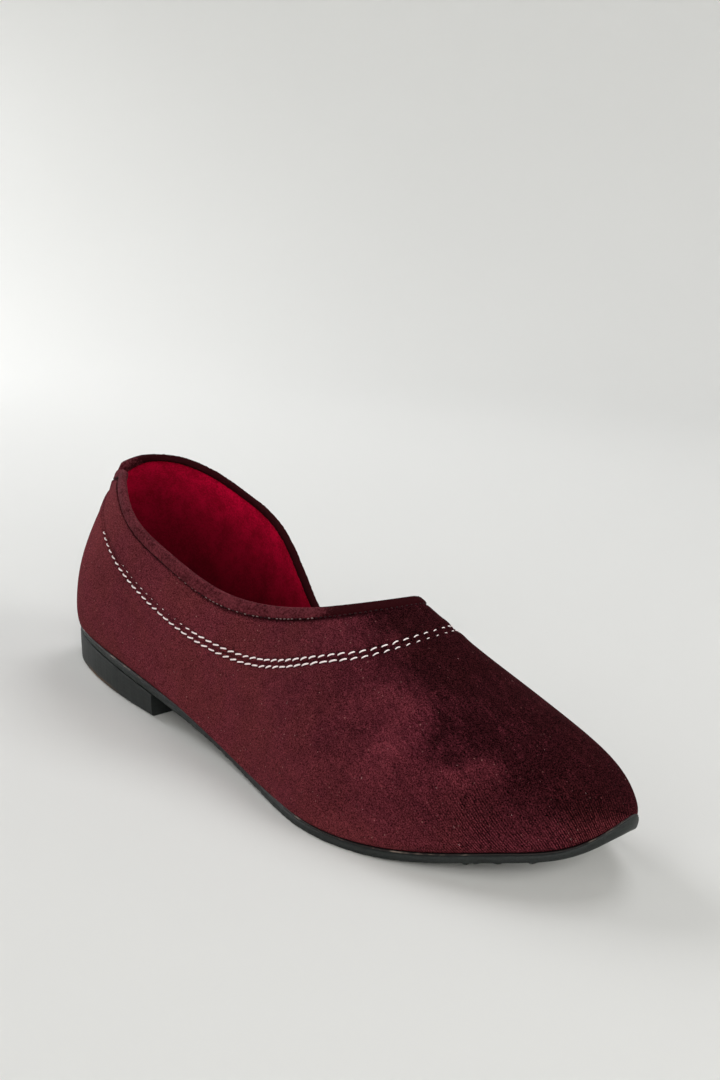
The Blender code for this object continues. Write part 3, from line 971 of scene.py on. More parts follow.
def lining_material(settings):
    """Brushed cotton lining, dyed crimson: a soft matt nap, a little cloudy where it is rubbed, and
    painted shade deep inside.
    """
    made, add, dress = new_material("brushed_cotton_lining")
    place = add("TexCoord", out="Object")
    fibres = {"Scale": per_size(LINING_NAP), "Detail": 3, "Roughness": 0.7}
    nap = add("TexNoise", {"Vector": place, **fibres})
    rubs = {"Scale": per_size(LINING_CLOUD), "Detail": 5, "Roughness": 0.65}
    cloud = add("TexNoise", {"Vector": place, **rubs})
    both = add("Mix", {0: 0.55, 2: cloud, 3: nap})
    stops = (0.42, settings.lining_dark), (0.58, settings.lining_light)
    tone = add("ValToRGB", (both,), stops=stops)
    # Painted shade: deep inside the shoe the lining is coloured in its dark shaded tone.
    wear_and_shade = add("Attribute", out="Fac", attribute_name="depth_shade")
    tone = add("Mix", {0: wear_and_shade, 6: tone, 7: settings.lining_shadow}, 2, data_type="RGBA")
    dress(
        {
            "Base Color": tone,
            "Normal": add("Bump", {"Height": both, "Strength": 0.5, "Distance": 0.25 * MM}),
            "Roughness": 0.95,
            "Specular IOR Level": 0.1,
            "Sheen Weight": 0.1,
            "Sheen Roughness": 0.5,
            "Sheen Tint": colour("#e02040"),
        }
    )
    return made


def thread_material(name, light, dark, twist=0.55):
    """Twisted polyester sewing thread, with a slight gloss and plies that wind round it.

    twist is the length of one turn of a ply, in millimetres.
    """
    made, add, dress = new_material(name)
    place = add("TexCoord", out="Object")
    waves = {"Vector": place, "Scale": WAVE_SCALE * per_size(twist), "Distortion": 1.0}
    plies = add("TexWave", waves, "Fac", bands_direction="DIAGONAL")
    pale = add("Attribute", out="Fac", attribute_name="pale")
    dress(
        {
            "Base Color": add("Mix", {0: pale, 6: dark, 7: light}, 2, data_type="RGBA"),
            "Normal": add("Bump", {"Height": plies, "Strength": 0.5, "Distance": 0.1 * MM}),
            "Roughness": 0.7,
            "Specular IOR Level": 0.3,
        }
    )
    return made


RUBBER_PORES = 0.8  # real pores and scratches are finer, and are drawn coarser so that they show
BUFFING_SIZE = 1.1111
BUFFING_RUN = (0.12, 0.12, 1.6)  # drawn out level along the edge


def rubber_material(name, settings, scuffed=0.0):
    """Moulded rubber, buffed at its edge: matt charcoal with fine scratches and dusty rubs."""
    made, add, dress = new_material(name)
    place = add("TexCoord", out="Object")
    pores = add("TexNoise", {"Vector": place, "Scale": per_size(RUBBER_PORES), "Detail": 3})
    drawn = add("Mapping", {"Vector": place, "Scale": BUFFING_RUN})
    buffing = add("TexNoise", {"Vector": drawn, "Scale": per_size(BUFFING_SIZE), "Detail": 3})
    both = add("Mix", {0: 0.5, 2: pores, 3: buffing})
    stops = (0.36, settings.rubber_dark), (0.66, settings.rubber_light)
    tone = add("ValToRGB", (both,), stops=stops)
    if scuffed:
        rubbed = add("Attribute", out="Fac", attribute_name="scuff")
        patchy = add("Math", (rubbed, buffing), operation="MULTIPLY")
        patchy = add("MapRange", (patchy, 0.25, 0.6, 0.0, scuffed))
        tone = add("Mix", {0: patchy, 6: tone, 7: settings.scuff}, 2, data_type="RGBA")
    dress(
        {
            "Base Color": tone,
            "Normal": add("Bump", {"Height": both, "Strength": 0.4, "Distance": 0.12 * MM}),
            "Roughness": 0.6,
            "Specular IOR Level": 0.3,
        }
    )
    return made


CEMENT_DIRT = 6.25


def cement_material():
    """Contact cement that squeezed out and dried tan, dirty in places."""
    made, add, dress = new_material("dried_contact_cement")
    place = add("TexCoord", out="Object")
    dirt = add("TexNoise", {"Vector": place, "Scale": per_size(CEMENT_DIRT), "Detail": 3})
    stops = (0.54, colour("#1c1413")), (0.7, colour("#8c7c70"))
    dress({"Base Color": add("ValToRGB", (dirt,), stops=stops), "Roughness": 0.6})
    return made


PAPER_MOTTLE = 500.0


def paper_material():
    """Matt studio paper, very slightly mottled."""
    made, add, dress = new_material("matt_studio_paper")
    place = add("TexCoord", out="Object")
    mottle = add("TexNoise", {"Vector": place, "Scale": per_size(PAPER_MOTTLE), "Detail": 2})
    stops = (0.0, colour("#dcdcd9")), (1.0, colour("#e0e0dd"))
    dress(
        {
            "Base Color": add("ValToRGB", (mottle,), stops=stops),
            "Roughness": 0.9,
            "Specular IOR Level": 0.1,
        }
    )
    return made


# ---------------------------------------------------------------- upper and lining
def grid_shell(outer, inner):
    """Points and faces of a closed shell between two rows of rings, open at both ends."""
    rings = np.concatenate([outer, inner[::-1]])
    points = np.stack(rings, axis=1).reshape(-1, 3)
    return points, ring_faces(outer.shape[1], len(rings), joined=True)


def shell_normals(places):
    """Normals of the rows, evened so that the sharp back seam stays open, and level at the sole."""
    normals = last_normal(places.turn[:-1], places.side[:-1])
    turn, side = places.turn[-1], places.side[-1]
    out_x, out_y = outward(np.where(side < 0, turn, 2 - turn))
    rim = np.stack([out_x, out_y, np.zeros_like(out_x)], axis=-1)
    rows = [evened(row, EVEN_PASSES) for row in normals]
    return np.array([*rows, rim])


BACKING_EVERY = 3  # the velvet's back is hidden, and has one row for three in front
SHORT_OF_EDGE = 0.999


def build_velvet_upper(finish):
    places = upper_places()
    base = last_point(places.turn, places.side)
    even = shell_normals(places)
    from_seam, run = seam_distance(base, places.seam_row)
    from_tape = run - run[places.tape_row] - tape_widening(base[0])
    to_sole = run[-1] - run
    relief = upper_relief(places, base, from_seam, from_tape, to_sole)
    wrap = lower_wrap(places, base, to_sole)
    outside = base + relief[..., None] * even + wrap
    inside = base - SHELL * even + wrap
    inside = np.concatenate([inside[::BACKING_EVERY], inside[-1:]])
    points, faces = grid_shell(outside, inside)
    facing = last_normal(places.turn, np.clip(places.side, -SHORT_OF_EDGE, SHORT_OF_EDGE))
    lay_and_shade, ruffled, twill = pile_lay_and_shade(base, facing, from_seam, from_tape)
    down = down_cloth(places.turn, places.side)
    shown = dict(lay_and_shade=lay_and_shade, ruffled=ruffled, twill=twill, forward=base[..., 0], down=down)
    hidden = np.zeros((len(inside), base.shape[1]))
    values = {name: np.concatenate([value, hidden]).T for name, value in shown.items()}
    return add_piece("velvet_upper", points, faces, finish, ("upper",), values)


# Painted shade: how far the lining's colour turns to its dark shaded tone, far down inside.
LINING_DEPTH_SHADE = 0.95
LINING_SHADE_AT_BACK = Line(0.0, 30.0, 0.3)  # at the back of the heel the painted shade starts already at the rim
LINING_SHADE_DEPTH = 24.0
LINING_SHADE_FRONT = Climb(65.0, 35.0, 26.0)  # how much deeper it shows towards the throat
LINING_EVERY = 2  # smoother than the velvet, the lining has every second row


def build_lining(finish):
    places = upper_places()
    base = last_point(places.turn, places.side)[::LINING_EVERY]
    even = shell_normals(places)[::LINING_EVERY]
    outside = base - LINING_START * even
    inside = base - WALL * even
    points, faces = grid_shell(outside, inside)
    depth = depth_below(base)
    forward = base[0, :, 0]
    fades = LINING_SHADE_DEPTH + LINING_SHADE_FRONT.at(forward)
    unshaded_at_rim = 1 - LINING_SHADE_AT_BACK.at(forward)
    # Painted shade that deepens with the depth below the rim.
    wear_and_shade = LINING_DEPTH_SHADE * (1 - unshaded_at_rim * np.exp(-np.maximum(depth - TAPE_REACH, 0) / fades))
    depth_shade = np.concatenate([wear_and_shade, wear_and_shade[::-1]]).T
    return add_piece("red_lining", points, faces, finish, values={"depth_shade": depth_shade})


# ------------------------------------------------------------------ collar tape
# The folded tape's section: reach down the shell from the collar's edge, and height above it.
TAPE_SECTION = (
    (2.95, 0.02),
    (2.85, 0.45),
    (2.45, 0.76),
    (1.6, 0.88),
    (0.7, 0.92),
    (0.0, 0.84),
    (-0.5, 0.6),
    (-0.82, 0.1),
    (-0.95, -0.7),
    (-0.84, -1.5),
    (-0.5, -2.1),
    (0.2, -2.42),
    (1.3, -2.48),
    (2.4, -2.42),
    (2.85, -2.2),
    (2.95, -1.85),
    (2.6, -1.68),
    (0.3, -1.68),
    (-0.2, -1.2),
    (-0.25, -0.2),
    (0.3, 0.06),
    (2.6, 0.06),
)


class Join(NamedTuple):
    """Where one end of the tape laps over the other."""

    share: float  # of the way round the collar from the back of the heel
    length: float
    lift: float


TAPE_JOINS = (Join(0.247, 7.0, 0.25), Join(0.958, 6.0, 0.2))
TAPE_PRESSED = 0.65  # how much flatter it lies over the instep and at the back
INSTEP_SIDES, TAPE_BACK = (0.0, 0.3), (8.0, 16.0)  # middle and width, by side and by forward
JOIN_STEP, JOIN_FADE = 0.6, 4.0
TAPE_FUZZ = 0.08
TAPE_WAVES = ((5.3, 0.05, 0.0), (2.1, 0.04, 1.0))  # length over two pi, height and phase
INNER_FLAP_SHORTER = 0.6  # how much shorter the inner flap is on the inner side
INNER_ACROSS, INNER_AHEAD = Climb(0.0, 10.0, 1.0), Climb(14.0, 12.0, 1.0)
DARK_FRONT, DARK_INNER = 0.22, 0.2  # how much darker it is coloured, by the pile's lay and painted shade
DARK_AHEAD = Climb(160.0, 20.0, 1.0)


def tape_lift(run, length):
    """How much the tape stands higher along its run, at its joins and from its own unevenness."""
    lift = sum(height * np.sin(run / size + phase) for size, height, phase in TAPE_WAVES)
    for join in TAPE_JOINS:
        ahead = run - join.share * length
        lift += join.lift * rise(ahead, 0, JOIN_STEP) * rise(ahead, join.length, -JOIN_FADE)
    return lift


def build_collar_tape(finish):
    chance = np.random.default_rng(RANDOM_SEED + 6)
    turn, side, edge, down = collar_frame()
    forward, across = edge[:, 0], edge[:, 1]
    count = len(turn)
    run = closed_run(edge)
    lift = tape_lift(run[:-1], run[-1])
    pressed = 1 - TAPE_PRESSED * (hump(side, *INSTEP_SIDES) + hump(forward, *TAPE_BACK))
    inner_side = smooth_step(INNER_ACROSS.at(across)) * INNER_AHEAD.at(forward)
    outer_flap = 1 + tape_widening(edge) / TAPE_REACH
    inner_flap = 1 - INNER_FLAP_SHORTER * inner_side
    rings = []
    for reach, height in TAPE_SECTION:
        stretch = np.ones(count)
        if reach > 0:
            stretch = outer_flap if height > 0 else inner_flap
        places = walk(turn, side, edge + (reach * stretch)[:, None] * down)
        normal = evened(last_normal(*places), EVEN_PASSES)
        lifted = height * pressed + lift if height > FIT_GAP else height
        lifted = lifted + TAPE_FUZZ * chance.normal(size=count) * (abs(height) > FIT_GAP)
        rings.append(last_point(*places) + lifted[..., None] * normal)
    points = np.stack(rings, axis=1).reshape(-1, 3)
    faces = ring_faces(count, len(TAPE_SECTION), joined=True)
    # Painted shade with the pile's lay: the tape is coloured darker towards the throat and on the
    # inner side.
    lay_and_shade = DARK_FRONT * smooth_step(DARK_AHEAD.at(forward)) + DARK_INNER * inner_side
    values = {"lay_and_shade": np.repeat(lay_and_shade, len(TAPE_SECTION))}
    return add_piece(
        "collar_tape", points, faces, finish, ("collar_binding",), values
    )


# ------------------------------------------------------------------- stitches
STITCH_SIDES = 8
# Along each stitch, from one end to the other: share of its half length, height, thickness.
STITCH_SHAPE = (
    (-1.0, -0.55, 0.35),
    (-0.97, -0.4, 0.75),
    (-0.85, -0.05, 0.95),
    (-0.5, 0.75, 1.0),
    (0.0, 1.0, 1.0),
    (0.5, 0.75, 1.0),
    (0.85, -0.05, 0.95),
    (0.97, -0.4, 0.75),
    (1.0, -0.55, 0.35),
)
STITCH_POINTS = len(STITCH_SHAPE) * STITCH_SIDES


def stitch_row(line, line_up, line_out, pitch, start=0.0):
    """Centres and directions at even steps along a closed line of points.

    start is how far along the first step the row begins.
    """
    run = closed_run(line)
    count = int(round(run[-1] / pitch))
    at = (np.arange(count) + start) * run[-1] / count
    closed = [np.concatenate([rows, rows[:1]]) for rows in (line, line_up, line_out)]
    middle, up, out = (
        np.stack([np.interp(at, run, rows[:, axis]) for axis in range(3)], axis=1)
        for rows in closed
    )
    out = unit(out)
    along = unit(np.cross(unit(up), out))
    return middle, along, np.cross(out, along), out


def stitches(row, half_length, radius, arch, slant, sink, size):
    """Points and faces of one small closed tube a stitch."""
    middle, along, up, out = row
    angle = corner_angles(STITCH_SIDES)
    points, faces = [], []
    for i in range(len(middle)):
        lean = math.cos(slant[i]) * along[i] + math.sin(slant[i]) * up[i]
        aside = np.cross(out[i], lean)
        for share, height, thick in STITCH_SHAPE:
            centre = middle[i] + share * half_length * size[i] * lean
            centre = centre + (arch * height - sink[i]) * out[i]
            ring = np.outer(np.cos(angle), aside) + np.outer(np.sin(angle), out[i])
            points.append(centre + radius * size[i] * thick * ring)
        faces += ring_faces(
            len(STITCH_SHAPE), STITCH_SIDES, i * STITCH_POINTS, first_cap=True, last_cap=True
        )
    return np.concatenate(points), faces


def seam_line(offset):
    """Points on the velvet beside the seam, with the directions up the shoe and out of it."""
    places = upper_places()
    row = places.seam_row
    turn, side = places.turn[row], places.side[row]
    seam = last_point(turn, side)
    up = np.cross(last_normal(turn, side), tangents(seam))
    turn, side = walk(turn, side, seam + offset * up)
    return last_point(turn, side), up, last_normal(turn, side)


STITCH_HALF = 1.62
STITCH_ARCH = 0.36
STITCH_SINK, SINK_SPREAD = 0.3, 0.05
STITCH_SLANT, SLANT_SPREAD = math.radians(14), math.radians(4)
STITCHES_FROM = 34.5  # nearer the back of the heel they have sunk from sight
UPPER_START = 0.25  # the upper row runs this much of a stitch ahead
UPPER_FROM = 58.0  # further back only a few of the upper row's stitches show
UPPER_FEW = 0.12
BURIED = Climb(110.0, -12.0, 1.0)  # further back the pile half buries the upper row
BURIED_DEEPER, BURIED_DEEPER_SPREAD = 0.3, 0.12
BURIED_SMALLER, BURIED_SMALLER_SPREAD = 0.35, 0.35
# How much smaller each row's stitches get towards the instep, and the lower row's at the heel.
UPPER_SMALLER, LOWER_SMALLER = Climb(165.0, 20.0, 0.15), Climb(178.0, 20.0, 0.3)
HEEL_SMALLER = Climb(60.0, -20.0, 0.25)
INSTEP_SMALLER = Line(2.0, 13.0, 0.33)
INSTEP_FROM = 150.0


def build_vamp_stitches(finish, sizes):
    """Two rows of heavy cream stitches, one on each side of the seam."""
    chance = np.random.default_rng(RANDOM_SEED)
    pitch, radius = sizes.stitch_pitch / MM, sizes.thread_width / MM / 2
    every_point, every_face, made = [], [], 0
    for offset in (-ROW_OFFSET, ROW_OFFSET):
        upper = offset > 0
        row = stitch_row(*seam_line(offset), pitch, UPPER_START if upper else 0.0)
        forward, across = row[0][:, 0], row[0][:, 1]
        count = len(forward)
        slant = chance.normal(STITCH_SLANT, SLANT_SPREAD, count)
        slant = np.where(across < 0, slant, -slant)
        sink = chance.normal(STITCH_SINK, SINK_SPREAD, count)
        if upper:
            buried = BURIED.at(forward)
            sink += (BURIED_DEEPER + BURIED_DEEPER_SPREAD * chance.random(count)) * buried
            size = 1 - (BURIED_SMALLER + BURIED_SMALLER_SPREAD * chance.random(count)) * buried
            size -= UPPER_SMALLER.at(forward)
            shown = (forward > UPPER_FROM) | (chance.random(count) < UPPER_FEW)
        else:
            size = 1 - LOWER_SMALLER.at(forward) - HEEL_SMALLER.at(forward)
            shown = forward > STITCHES_FROM
        size -= INSTEP_SMALLER.at(across) * (forward > INSTEP_FROM)
        row = [part[shown] for part in row]
        points, faces = stitches(
            row, STITCH_HALF, radius, STITCH_ARCH, slant[shown], sink[shown], size[shown]
        )
        every_point.append(points)
        every_face += [[made + corner for corner in face] for face in faces]
        made += len(points)
    points = np.concatenate(every_point)
    values = {"pale": np.ones(len(points))}
    return add_piece("vamp_stitches", points, every_face, finish, values=values)


# The fine stitches that hold the tape. Some on the outer side have drawn pale thread up.
TAPE_STITCH_REACH = 3.1
TAPE_STITCH_PITCH = 1.9
TAPE_STITCH_HALF, TAPE_STITCH_RADIUS, TAPE_STITCH_ARCH = 0.42, 0.19, 0.12
TAPE_STITCH_SINK, TAPE_SINK_SPREAD = 0.25, 0.08
TAPE_SLANT_SPREAD = math.radians(10)
PALE_FROM, PALE_TO = 95.0, 164.0
PALE_SHARE, PALE_SHADE = 0.6, 0.8


def build_tape_stitches(finish):
    chance = np.random.default_rng(RANDOM_SEED + 1)
    turn, side, edge, down = collar_frame()
    reach = TAPE_STITCH_REACH + tape_widening(edge)
    places = walk(turn, side, edge + reach[:, None] * down)
    row = stitch_row(last_point(*places), -down, last_normal(*places), TAPE_STITCH_PITCH)
    forward, across = row[0][:, 0], row[0][:, 1]
    count = len(forward)
    slant = chance.normal(0, TAPE_SLANT_SPREAD, count)
    sink = chance.normal(TAPE_STITCH_SINK, TAPE_SINK_SPREAD, count)
    shape = TAPE_STITCH_HALF, TAPE_STITCH_RADIUS, TAPE_STITCH_ARCH
    points, faces = stitches(row, *shape, slant, sink, np.ones(count))
    drawn_up = (across < 0) & (forward > PALE_FROM) & (forward < PALE_TO)
    chosen = drawn_up & (chance.random(count) < PALE_SHARE)
    values = {"pale": np.repeat(chosen * PALE_SHADE, STITCH_POINTS)}
    return add_piece("tape_stitches", points, faces, finish, values=values)


# ------------------------------------------------------------------- sole layers
WANDER_LENGTHS = (3.1, 7.3, 17.0, 41.0)
OTHER_STRETCH = 400.0  # sets the inner side's unevenness apart from the outer side's
ANY_ANGLE = 6.28  # radians


def outline_wander(turn, sign, seed, amount):
    """A slight unevenness of a hand-trimmed edge."""
    chance = np.random.default_rng(seed)
    forward = LAST_LENGTH * share_of(turn) + OTHER_STRETCH * (sign > 0)
    wander = np.zeros_like(forward)
    for length in WANDER_LENGTHS:
        wander += np.sin(forward * 2 * math.pi / length + chance.uniform(0, ANY_ANGLE))
    return amount * wander / len(WANDER_LENGTHS) * np.sin(math.pi * np.clip(turn, 0, 1))


def layer_rings(section, place, level):
    """Rings across a layer under the foot, from its outer top edge round to its inner top edge.

    section is rows of an inset and whatever level takes. place gives the X and Y of the edge at
    a side and an inset, and level the height there.
    """
    halves = []
    for sign in (-1, 1):
        half = []
        for inset, *key in section:
            x, y = place(sign, inset)
            half.append(np.stack([x, y, level(x, *key)], axis=-1))
        halves.append(half if sign < 0 else half[::-1])
    return np.stack(halves[0] + halves[1], axis=1)


OUTSOLE_RIBS = 420
OUTSOLE_WANDER = 0.22
# Inset from the sole's edge, and how far down: 0 on top, 1 underneath.
OUTSOLE_EDGE = (
    (2.6, 0.0),
    (0.75, 0.0),
    (0.4, 0.06),
    (0.1, 0.22),
    (0.0, 0.42),
    (0.12, 0.72),
    (0.34, 0.93),
    (0.7, 1.0),
    (4.0, 1.0),
)
# Crumbs of cement on the outer side's lower edge: how far forward, and how big.
CRUMBS = ((250.5, 0.5), (253.0, 0.3), (259.0, 0.4), (267.5, 0.45))
CRUMB_RINGS = slice(5, 8)
CRUMB_WIDTH = 0.8


def build_outsole(finish):
    turns = np.linspace(0, 1, OUTSOLE_RIBS)

    def place(sign, inset):
        stray = outline_wander(turns, sign, RANDOM_SEED + 2, OUTSOLE_WANDER)
        return edge_place(turns, sign, sole_margin(turns) - inset + stray)

    def level(forward, share):
        top, under = below_seat(forward, FIT_GAP), below_seat(forward, SOLE_DEPTH)
        return top + share * (under - top)

    rings = layer_rings(OUTSOLE_EDGE, place, level)
    for forward, size in CRUMBS:
        lump = size * hump(rings[:, CRUMB_RINGS, 0], forward, CRUMB_WIDTH)
        rings[:, CRUMB_RINGS, 1] -= 0.5 * lump
        rings[:, CRUMB_RINGS, 2] -= lump
    faces = ring_faces(*rings.shape[:2])
    return add_piece("outsole_layer", rings, faces, finish, ("outsole",), sharp=40.0)


HEEL_RIBS = 150
HEEL_WANDER = 0.1
HEEL_FRONT = HEEL_BREAST + 1.5  # the rubber is left a little long in front
SCUFF_UP, SCUFF_ALONG = Line(1.2, 1.4, 1.0), Line(38.0, 26.0, 1.0)  # on the outer side
# Inset from the sole's edge, and how far down from its top to a height above the floor.
HEEL_EDGE = (
    (2.5, 0.0, HEEL_EDGE_ROUND),
    (0.25, 0.0, HEEL_EDGE_ROUND),
    (0.05, 0.04, HEEL_EDGE_ROUND),
    (0.0, 0.1, HEEL_EDGE_ROUND),
    (0.28, 0.5, HEEL_EDGE_ROUND),
    (0.6, 0.8, HEEL_EDGE_ROUND),
    (HEEL_TAPER, 1.0, HEEL_EDGE_ROUND),
    (0.86, 1.0, 0.7 * HEEL_EDGE_ROUND),
    (1.16, 1.0, 0.3 * HEEL_EDGE_ROUND),
    (1.5, 1.0, 0.1 * HEEL_EDGE_ROUND),
    (2.0, 1.0, 0.0),
)


def build_heel(finish):
    turns = np.linspace(0, turn_of(HEEL_FRONT / LAST_LENGTH), HEEL_RIBS)

    def place(sign, inset):
        stray = outline_wander(turns, sign, RANDOM_SEED + 3, HEEL_WANDER)
        x, y = edge_place(turns, sign, sole_margin(turns) - inset + stray)
        x[-1] = HEEL_FRONT
        return x, y

    def level(forward, share, height):
        top = below_seat(forward, SOLE_DEPTH + FIT_GAP)
        return top + share * (height - top)

    rings = layer_rings(HEEL_EDGE, place, level)
    x, y, z = rings[..., 0], rings[..., 1], rings[..., 2]
    values = {"scuff": SCUFF_UP.at(z) * SCUFF_ALONG.at(x) * (y < 0)}
    faces = ring_faces(*rings.shape[:2], last_cap=True)
    return add_piece(
        "heel_stack", rings, faces, finish, ("heel_block",), values, sharp=35.0
    )


SOCK_RIBS = 160
SOCK_NARROW = 16.0  # the insets shrink where the half width is less than this
# Inset from the insole's edge, and height in insole thicknesses.
SOCK_EDGE = (
    (12.0, 1.12),
    (6.0, 1.1),
    (2.2, 1.0),
    (0.6, 0.84),
    (0.1, 0.55),
    (0.0, 0.2),
    (0.3, 0.0),
)


def build_sock(finish):
    """The cushioned footbed, rounded at its edge and a little full in the middle."""
    turns = np.linspace(0, 1, SOCK_RIBS)

    def place(sign, inset):
        narrow = np.minimum(1.0, np.abs(edge_place(turns, sign, 0.0)[1]) / SOCK_NARROW)
        return edge_place(turns, sign, -INSOLE_INSET - inset * narrow)

    def level(forward, share):
        return seat_at(forward) + share * INSOLE_THICKNESS

    rings = layer_rings(SOCK_EDGE, place, level)
    # Painted shade: the footbed, deep inside, is coloured almost all in the lining's dark shaded
    # tone.
    values = {"depth_shade": np.full(rings.shape[:2], LINING_DEPTH_SHADE)}
    faces = ring_faces(*rings.shape[:2])
    return add_piece("footbed_sock", rings, faces, finish, ("insole",), values)


CEMENT_POINTS = 700
CEMENT_SIDES = 6
CEMENT_RADIUS = 0.3
CEMENT_RAISED = 0.12
CEMENT_THINNEST, CEMENT_THICKER = 0.85, 0.3  # shares of its radius
CEMENT_MARGIN, CEMENT_IN = 0.35, 0.15  # a share of the sole's margin, and how far back from it


def build_cement(finish):
    """A thin bead that shows between the velvet and the outsole's edge."""
    chance = np.random.default_rng(RANDOM_SEED + 4)
    loop = np.linspace(0, 2, CEMENT_POINTS, endpoint=False)
    turn = np.minimum(loop, 2 - loop)
    out_x, out_y = outward(loop)
    radius = CEMENT_RADIUS * (CEMENT_THINNEST + CEMENT_THICKER * chance.random(CEMENT_POINTS))
    outset = CEMENT_MARGIN * sole_margin(turn) - CEMENT_IN
    x = LAST_LENGTH * share_of(turn) + outset * out_x
    y = half_width(loop) + outset * out_y
    z = below_seat(x, FIT_GAP) + CEMENT_RAISED
    rings = []
    for angle in corner_angles(CEMENT_SIDES):
        aside, over = radius * math.cos(angle), radius * math.sin(angle)
        rings.append(np.stack([x + aside * out_x, y + aside * out_y, z + over], axis=-1))
    points = np.stack(rings, axis=1).reshape(-1, 3)
    faces = ring_faces(CEMENT_POINTS, CEMENT_SIDES, joined=True)
    return add_piece("welt_cement", points, faces, finish)


# -------------------------------------------------------------------------- lint
LINT_COUNT = 300
LINT_SIDES = 4
LINT_RINGS = 5
LINT_POINTS = LINT_RINGS * LINT_SIDES
LINT_ALONG, LINT_AROUND = (0.02, 0.97), (-0.95, 0.95)
LINT_BELOW_COLLAR = 5.0
LINT_SHORTEST, LINT_LONGER = 0.2, 0.8
LINT_THIN, LINT_THICK = 0.04, 0.08
LINT_RAISED, LINT_ARCH = 0.12, 0.3
LINT_BEND = 0.9  # radians
LINT_TAPER = 1.6
LINT_PALEST = 0.9


def build_lint(finish):
    """Short pale fibres that the pile has caught."""
    chance = np.random.default_rng(RANDOM_SEED + 5)
    turn = turn_of(chance.uniform(*LINT_ALONG, LINT_COUNT))
    side = chance.uniform(*LINT_AROUND, LINT_COUNT)
    spots = last_point(turn, side)
    clear = spots[:, 2] < line_height(COLLAR, spots[:, 0], side, LINT_BELOW_COLLAR)
    turn, side, spots = turn[clear], side[clear], spots[clear]
    normal = last_normal(turn, side)
    along = unit(last_slopes(turn, side)[0])
    aside = np.cross(normal, along)
    angles = corner_angles(LINT_SIDES)
    points, faces, pale = [], [], []
    for i in range(len(spots)):
        heading, bend = chance.uniform(0, ANY_ANGLE), chance.normal(0, LINT_BEND)
        length = LINT_SHORTEST + LINT_LONGER * chance.random() ** 2
        radius = chance.uniform(LINT_THIN, LINT_THICK)
        shade = LINT_PALEST * chance.random() ** 3
        for share in np.linspace(-0.5, 0.5, LINT_RINGS):
            turned = heading + bend * share
            way = math.cos(turned) * along[i] + math.sin(turned) * aside[i]
            across = np.cross(normal[i], way)
            rising = LINT_RAISED - LINT_ARCH * share**2
            centre = spots[i] + length * share * way + rising * normal[i]
            ring = np.outer(np.cos(angles), across) + np.outer(np.sin(angles), normal[i])
            points.append(centre + radius * (1 - LINT_TAPER * share**2) * ring)
        faces += ring_faces(
            LINT_RINGS, LINT_SIDES, i * LINT_POINTS, first_cap=True, last_cap=True
        )
        pale.append(shade)
    values = {"pale": np.repeat(pale, LINT_POINTS)}
    return add_piece("pile_lint", np.concatenate(points), faces, finish, values=values)


# ------------------------------------------------------------------------ studio
FLOOR_RADIUS = 0.95
SWEEP_RADIUS = 0.7
SWEEP_STEPS = 14
ROUND_STEPS = 96
WALL_HEIGHT = 0.5


def build_floor():
    """A round paper sweep: level under the shoe, curving up into a wall all round."""
    profile = [(0.0, 0.0), (0.5 * FLOOR_RADIUS, 0.0)]
    for step in range(SWEEP_STEPS + 1):
        angle = step / SWEEP_STEPS * math.pi / 2
        profile.append(
            (FLOOR_RADIUS + SWEEP_RADIUS * math.sin(angle), SWEEP_RADIUS * (1 - math.cos(angle)))
        )
    profile.append((FLOOR_RADIUS + SWEEP_RADIUS, SWEEP_RADIUS + WALL_HEIGHT))
    mesh = bpy.data.meshes.new("paper_sweep")
    shape = bmesh.new()
    corners = [shape.verts.new((radius, 0, height)) for radius, height in profile]
    edges = [shape.edges.new(pair) for pair in zip(corners, corners[1:])]
    bmesh.ops.spin(
        shape,
        geom=corners + edges,
        cent=(0, 0, 0),
        axis=(0, 0, 1),
        angle=2 * math.pi,
        steps=ROUND_STEPS,
        use_merge=True,
    )
    bmesh.ops.remove_doubles(shape, verts=shape.verts, dist=1e-5)
    bmesh.ops.recalc_face_normals(shape, faces=shape.faces)
    shape.to_mesh(mesh)
    shape.free()
    mesh.shade_smooth()
    floor = bpy.data.objects.new("paper_sweep", mesh)
    mesh.materials.append(paper_material())
    bpy.context.scene.collection.objects.link(floor)


class Lamp(NamedTuple):
    """A round soft box that faces the shoe. Its size is in metres and its power in watts."""

    name: str
    place: tuple
    size: float
    power: float
    tint: str


LAMPS = (
    Lamp("back_left_box", (-1.38, 0.04, 0.8), 0.8, 13.3, "#fbfcff"),
    Lamp("front_box", (1.11, -0.83, 0.8), 0.8, 7.4, "#fffefc"),
    Lamp("right_box", (1.31, 0.44, 0.8), 0.8, 8.4, "#fffefc"),
    Lamp("back_high_box", (-0.20, 0.82, 1.36), 0.8, 6.4, "#fbfcff"),
    Lamp("left_box", (-0.04, -1.38, 0.8), 0.8, 2.6, "#fffefc"),
)


def add_area_light(name, place, size, power, tint):
    light = bpy.data.lights.new(name, "AREA")
    light.shape = "DISK"
    light.size = size
    light.energy = power
    light.color = colour(tint)[:3]
    lamp = bpy.data.objects.new(name, light)
    lamp.location = place
    lamp.rotation_euler = (-Vector(place)).to_track_quat("-Z", "Y").to_euler()
    lamp.visible_camera = False
    bpy.context.scene.collection.objects.link(lamp)


SENSOR = 36.0  # millimetres high


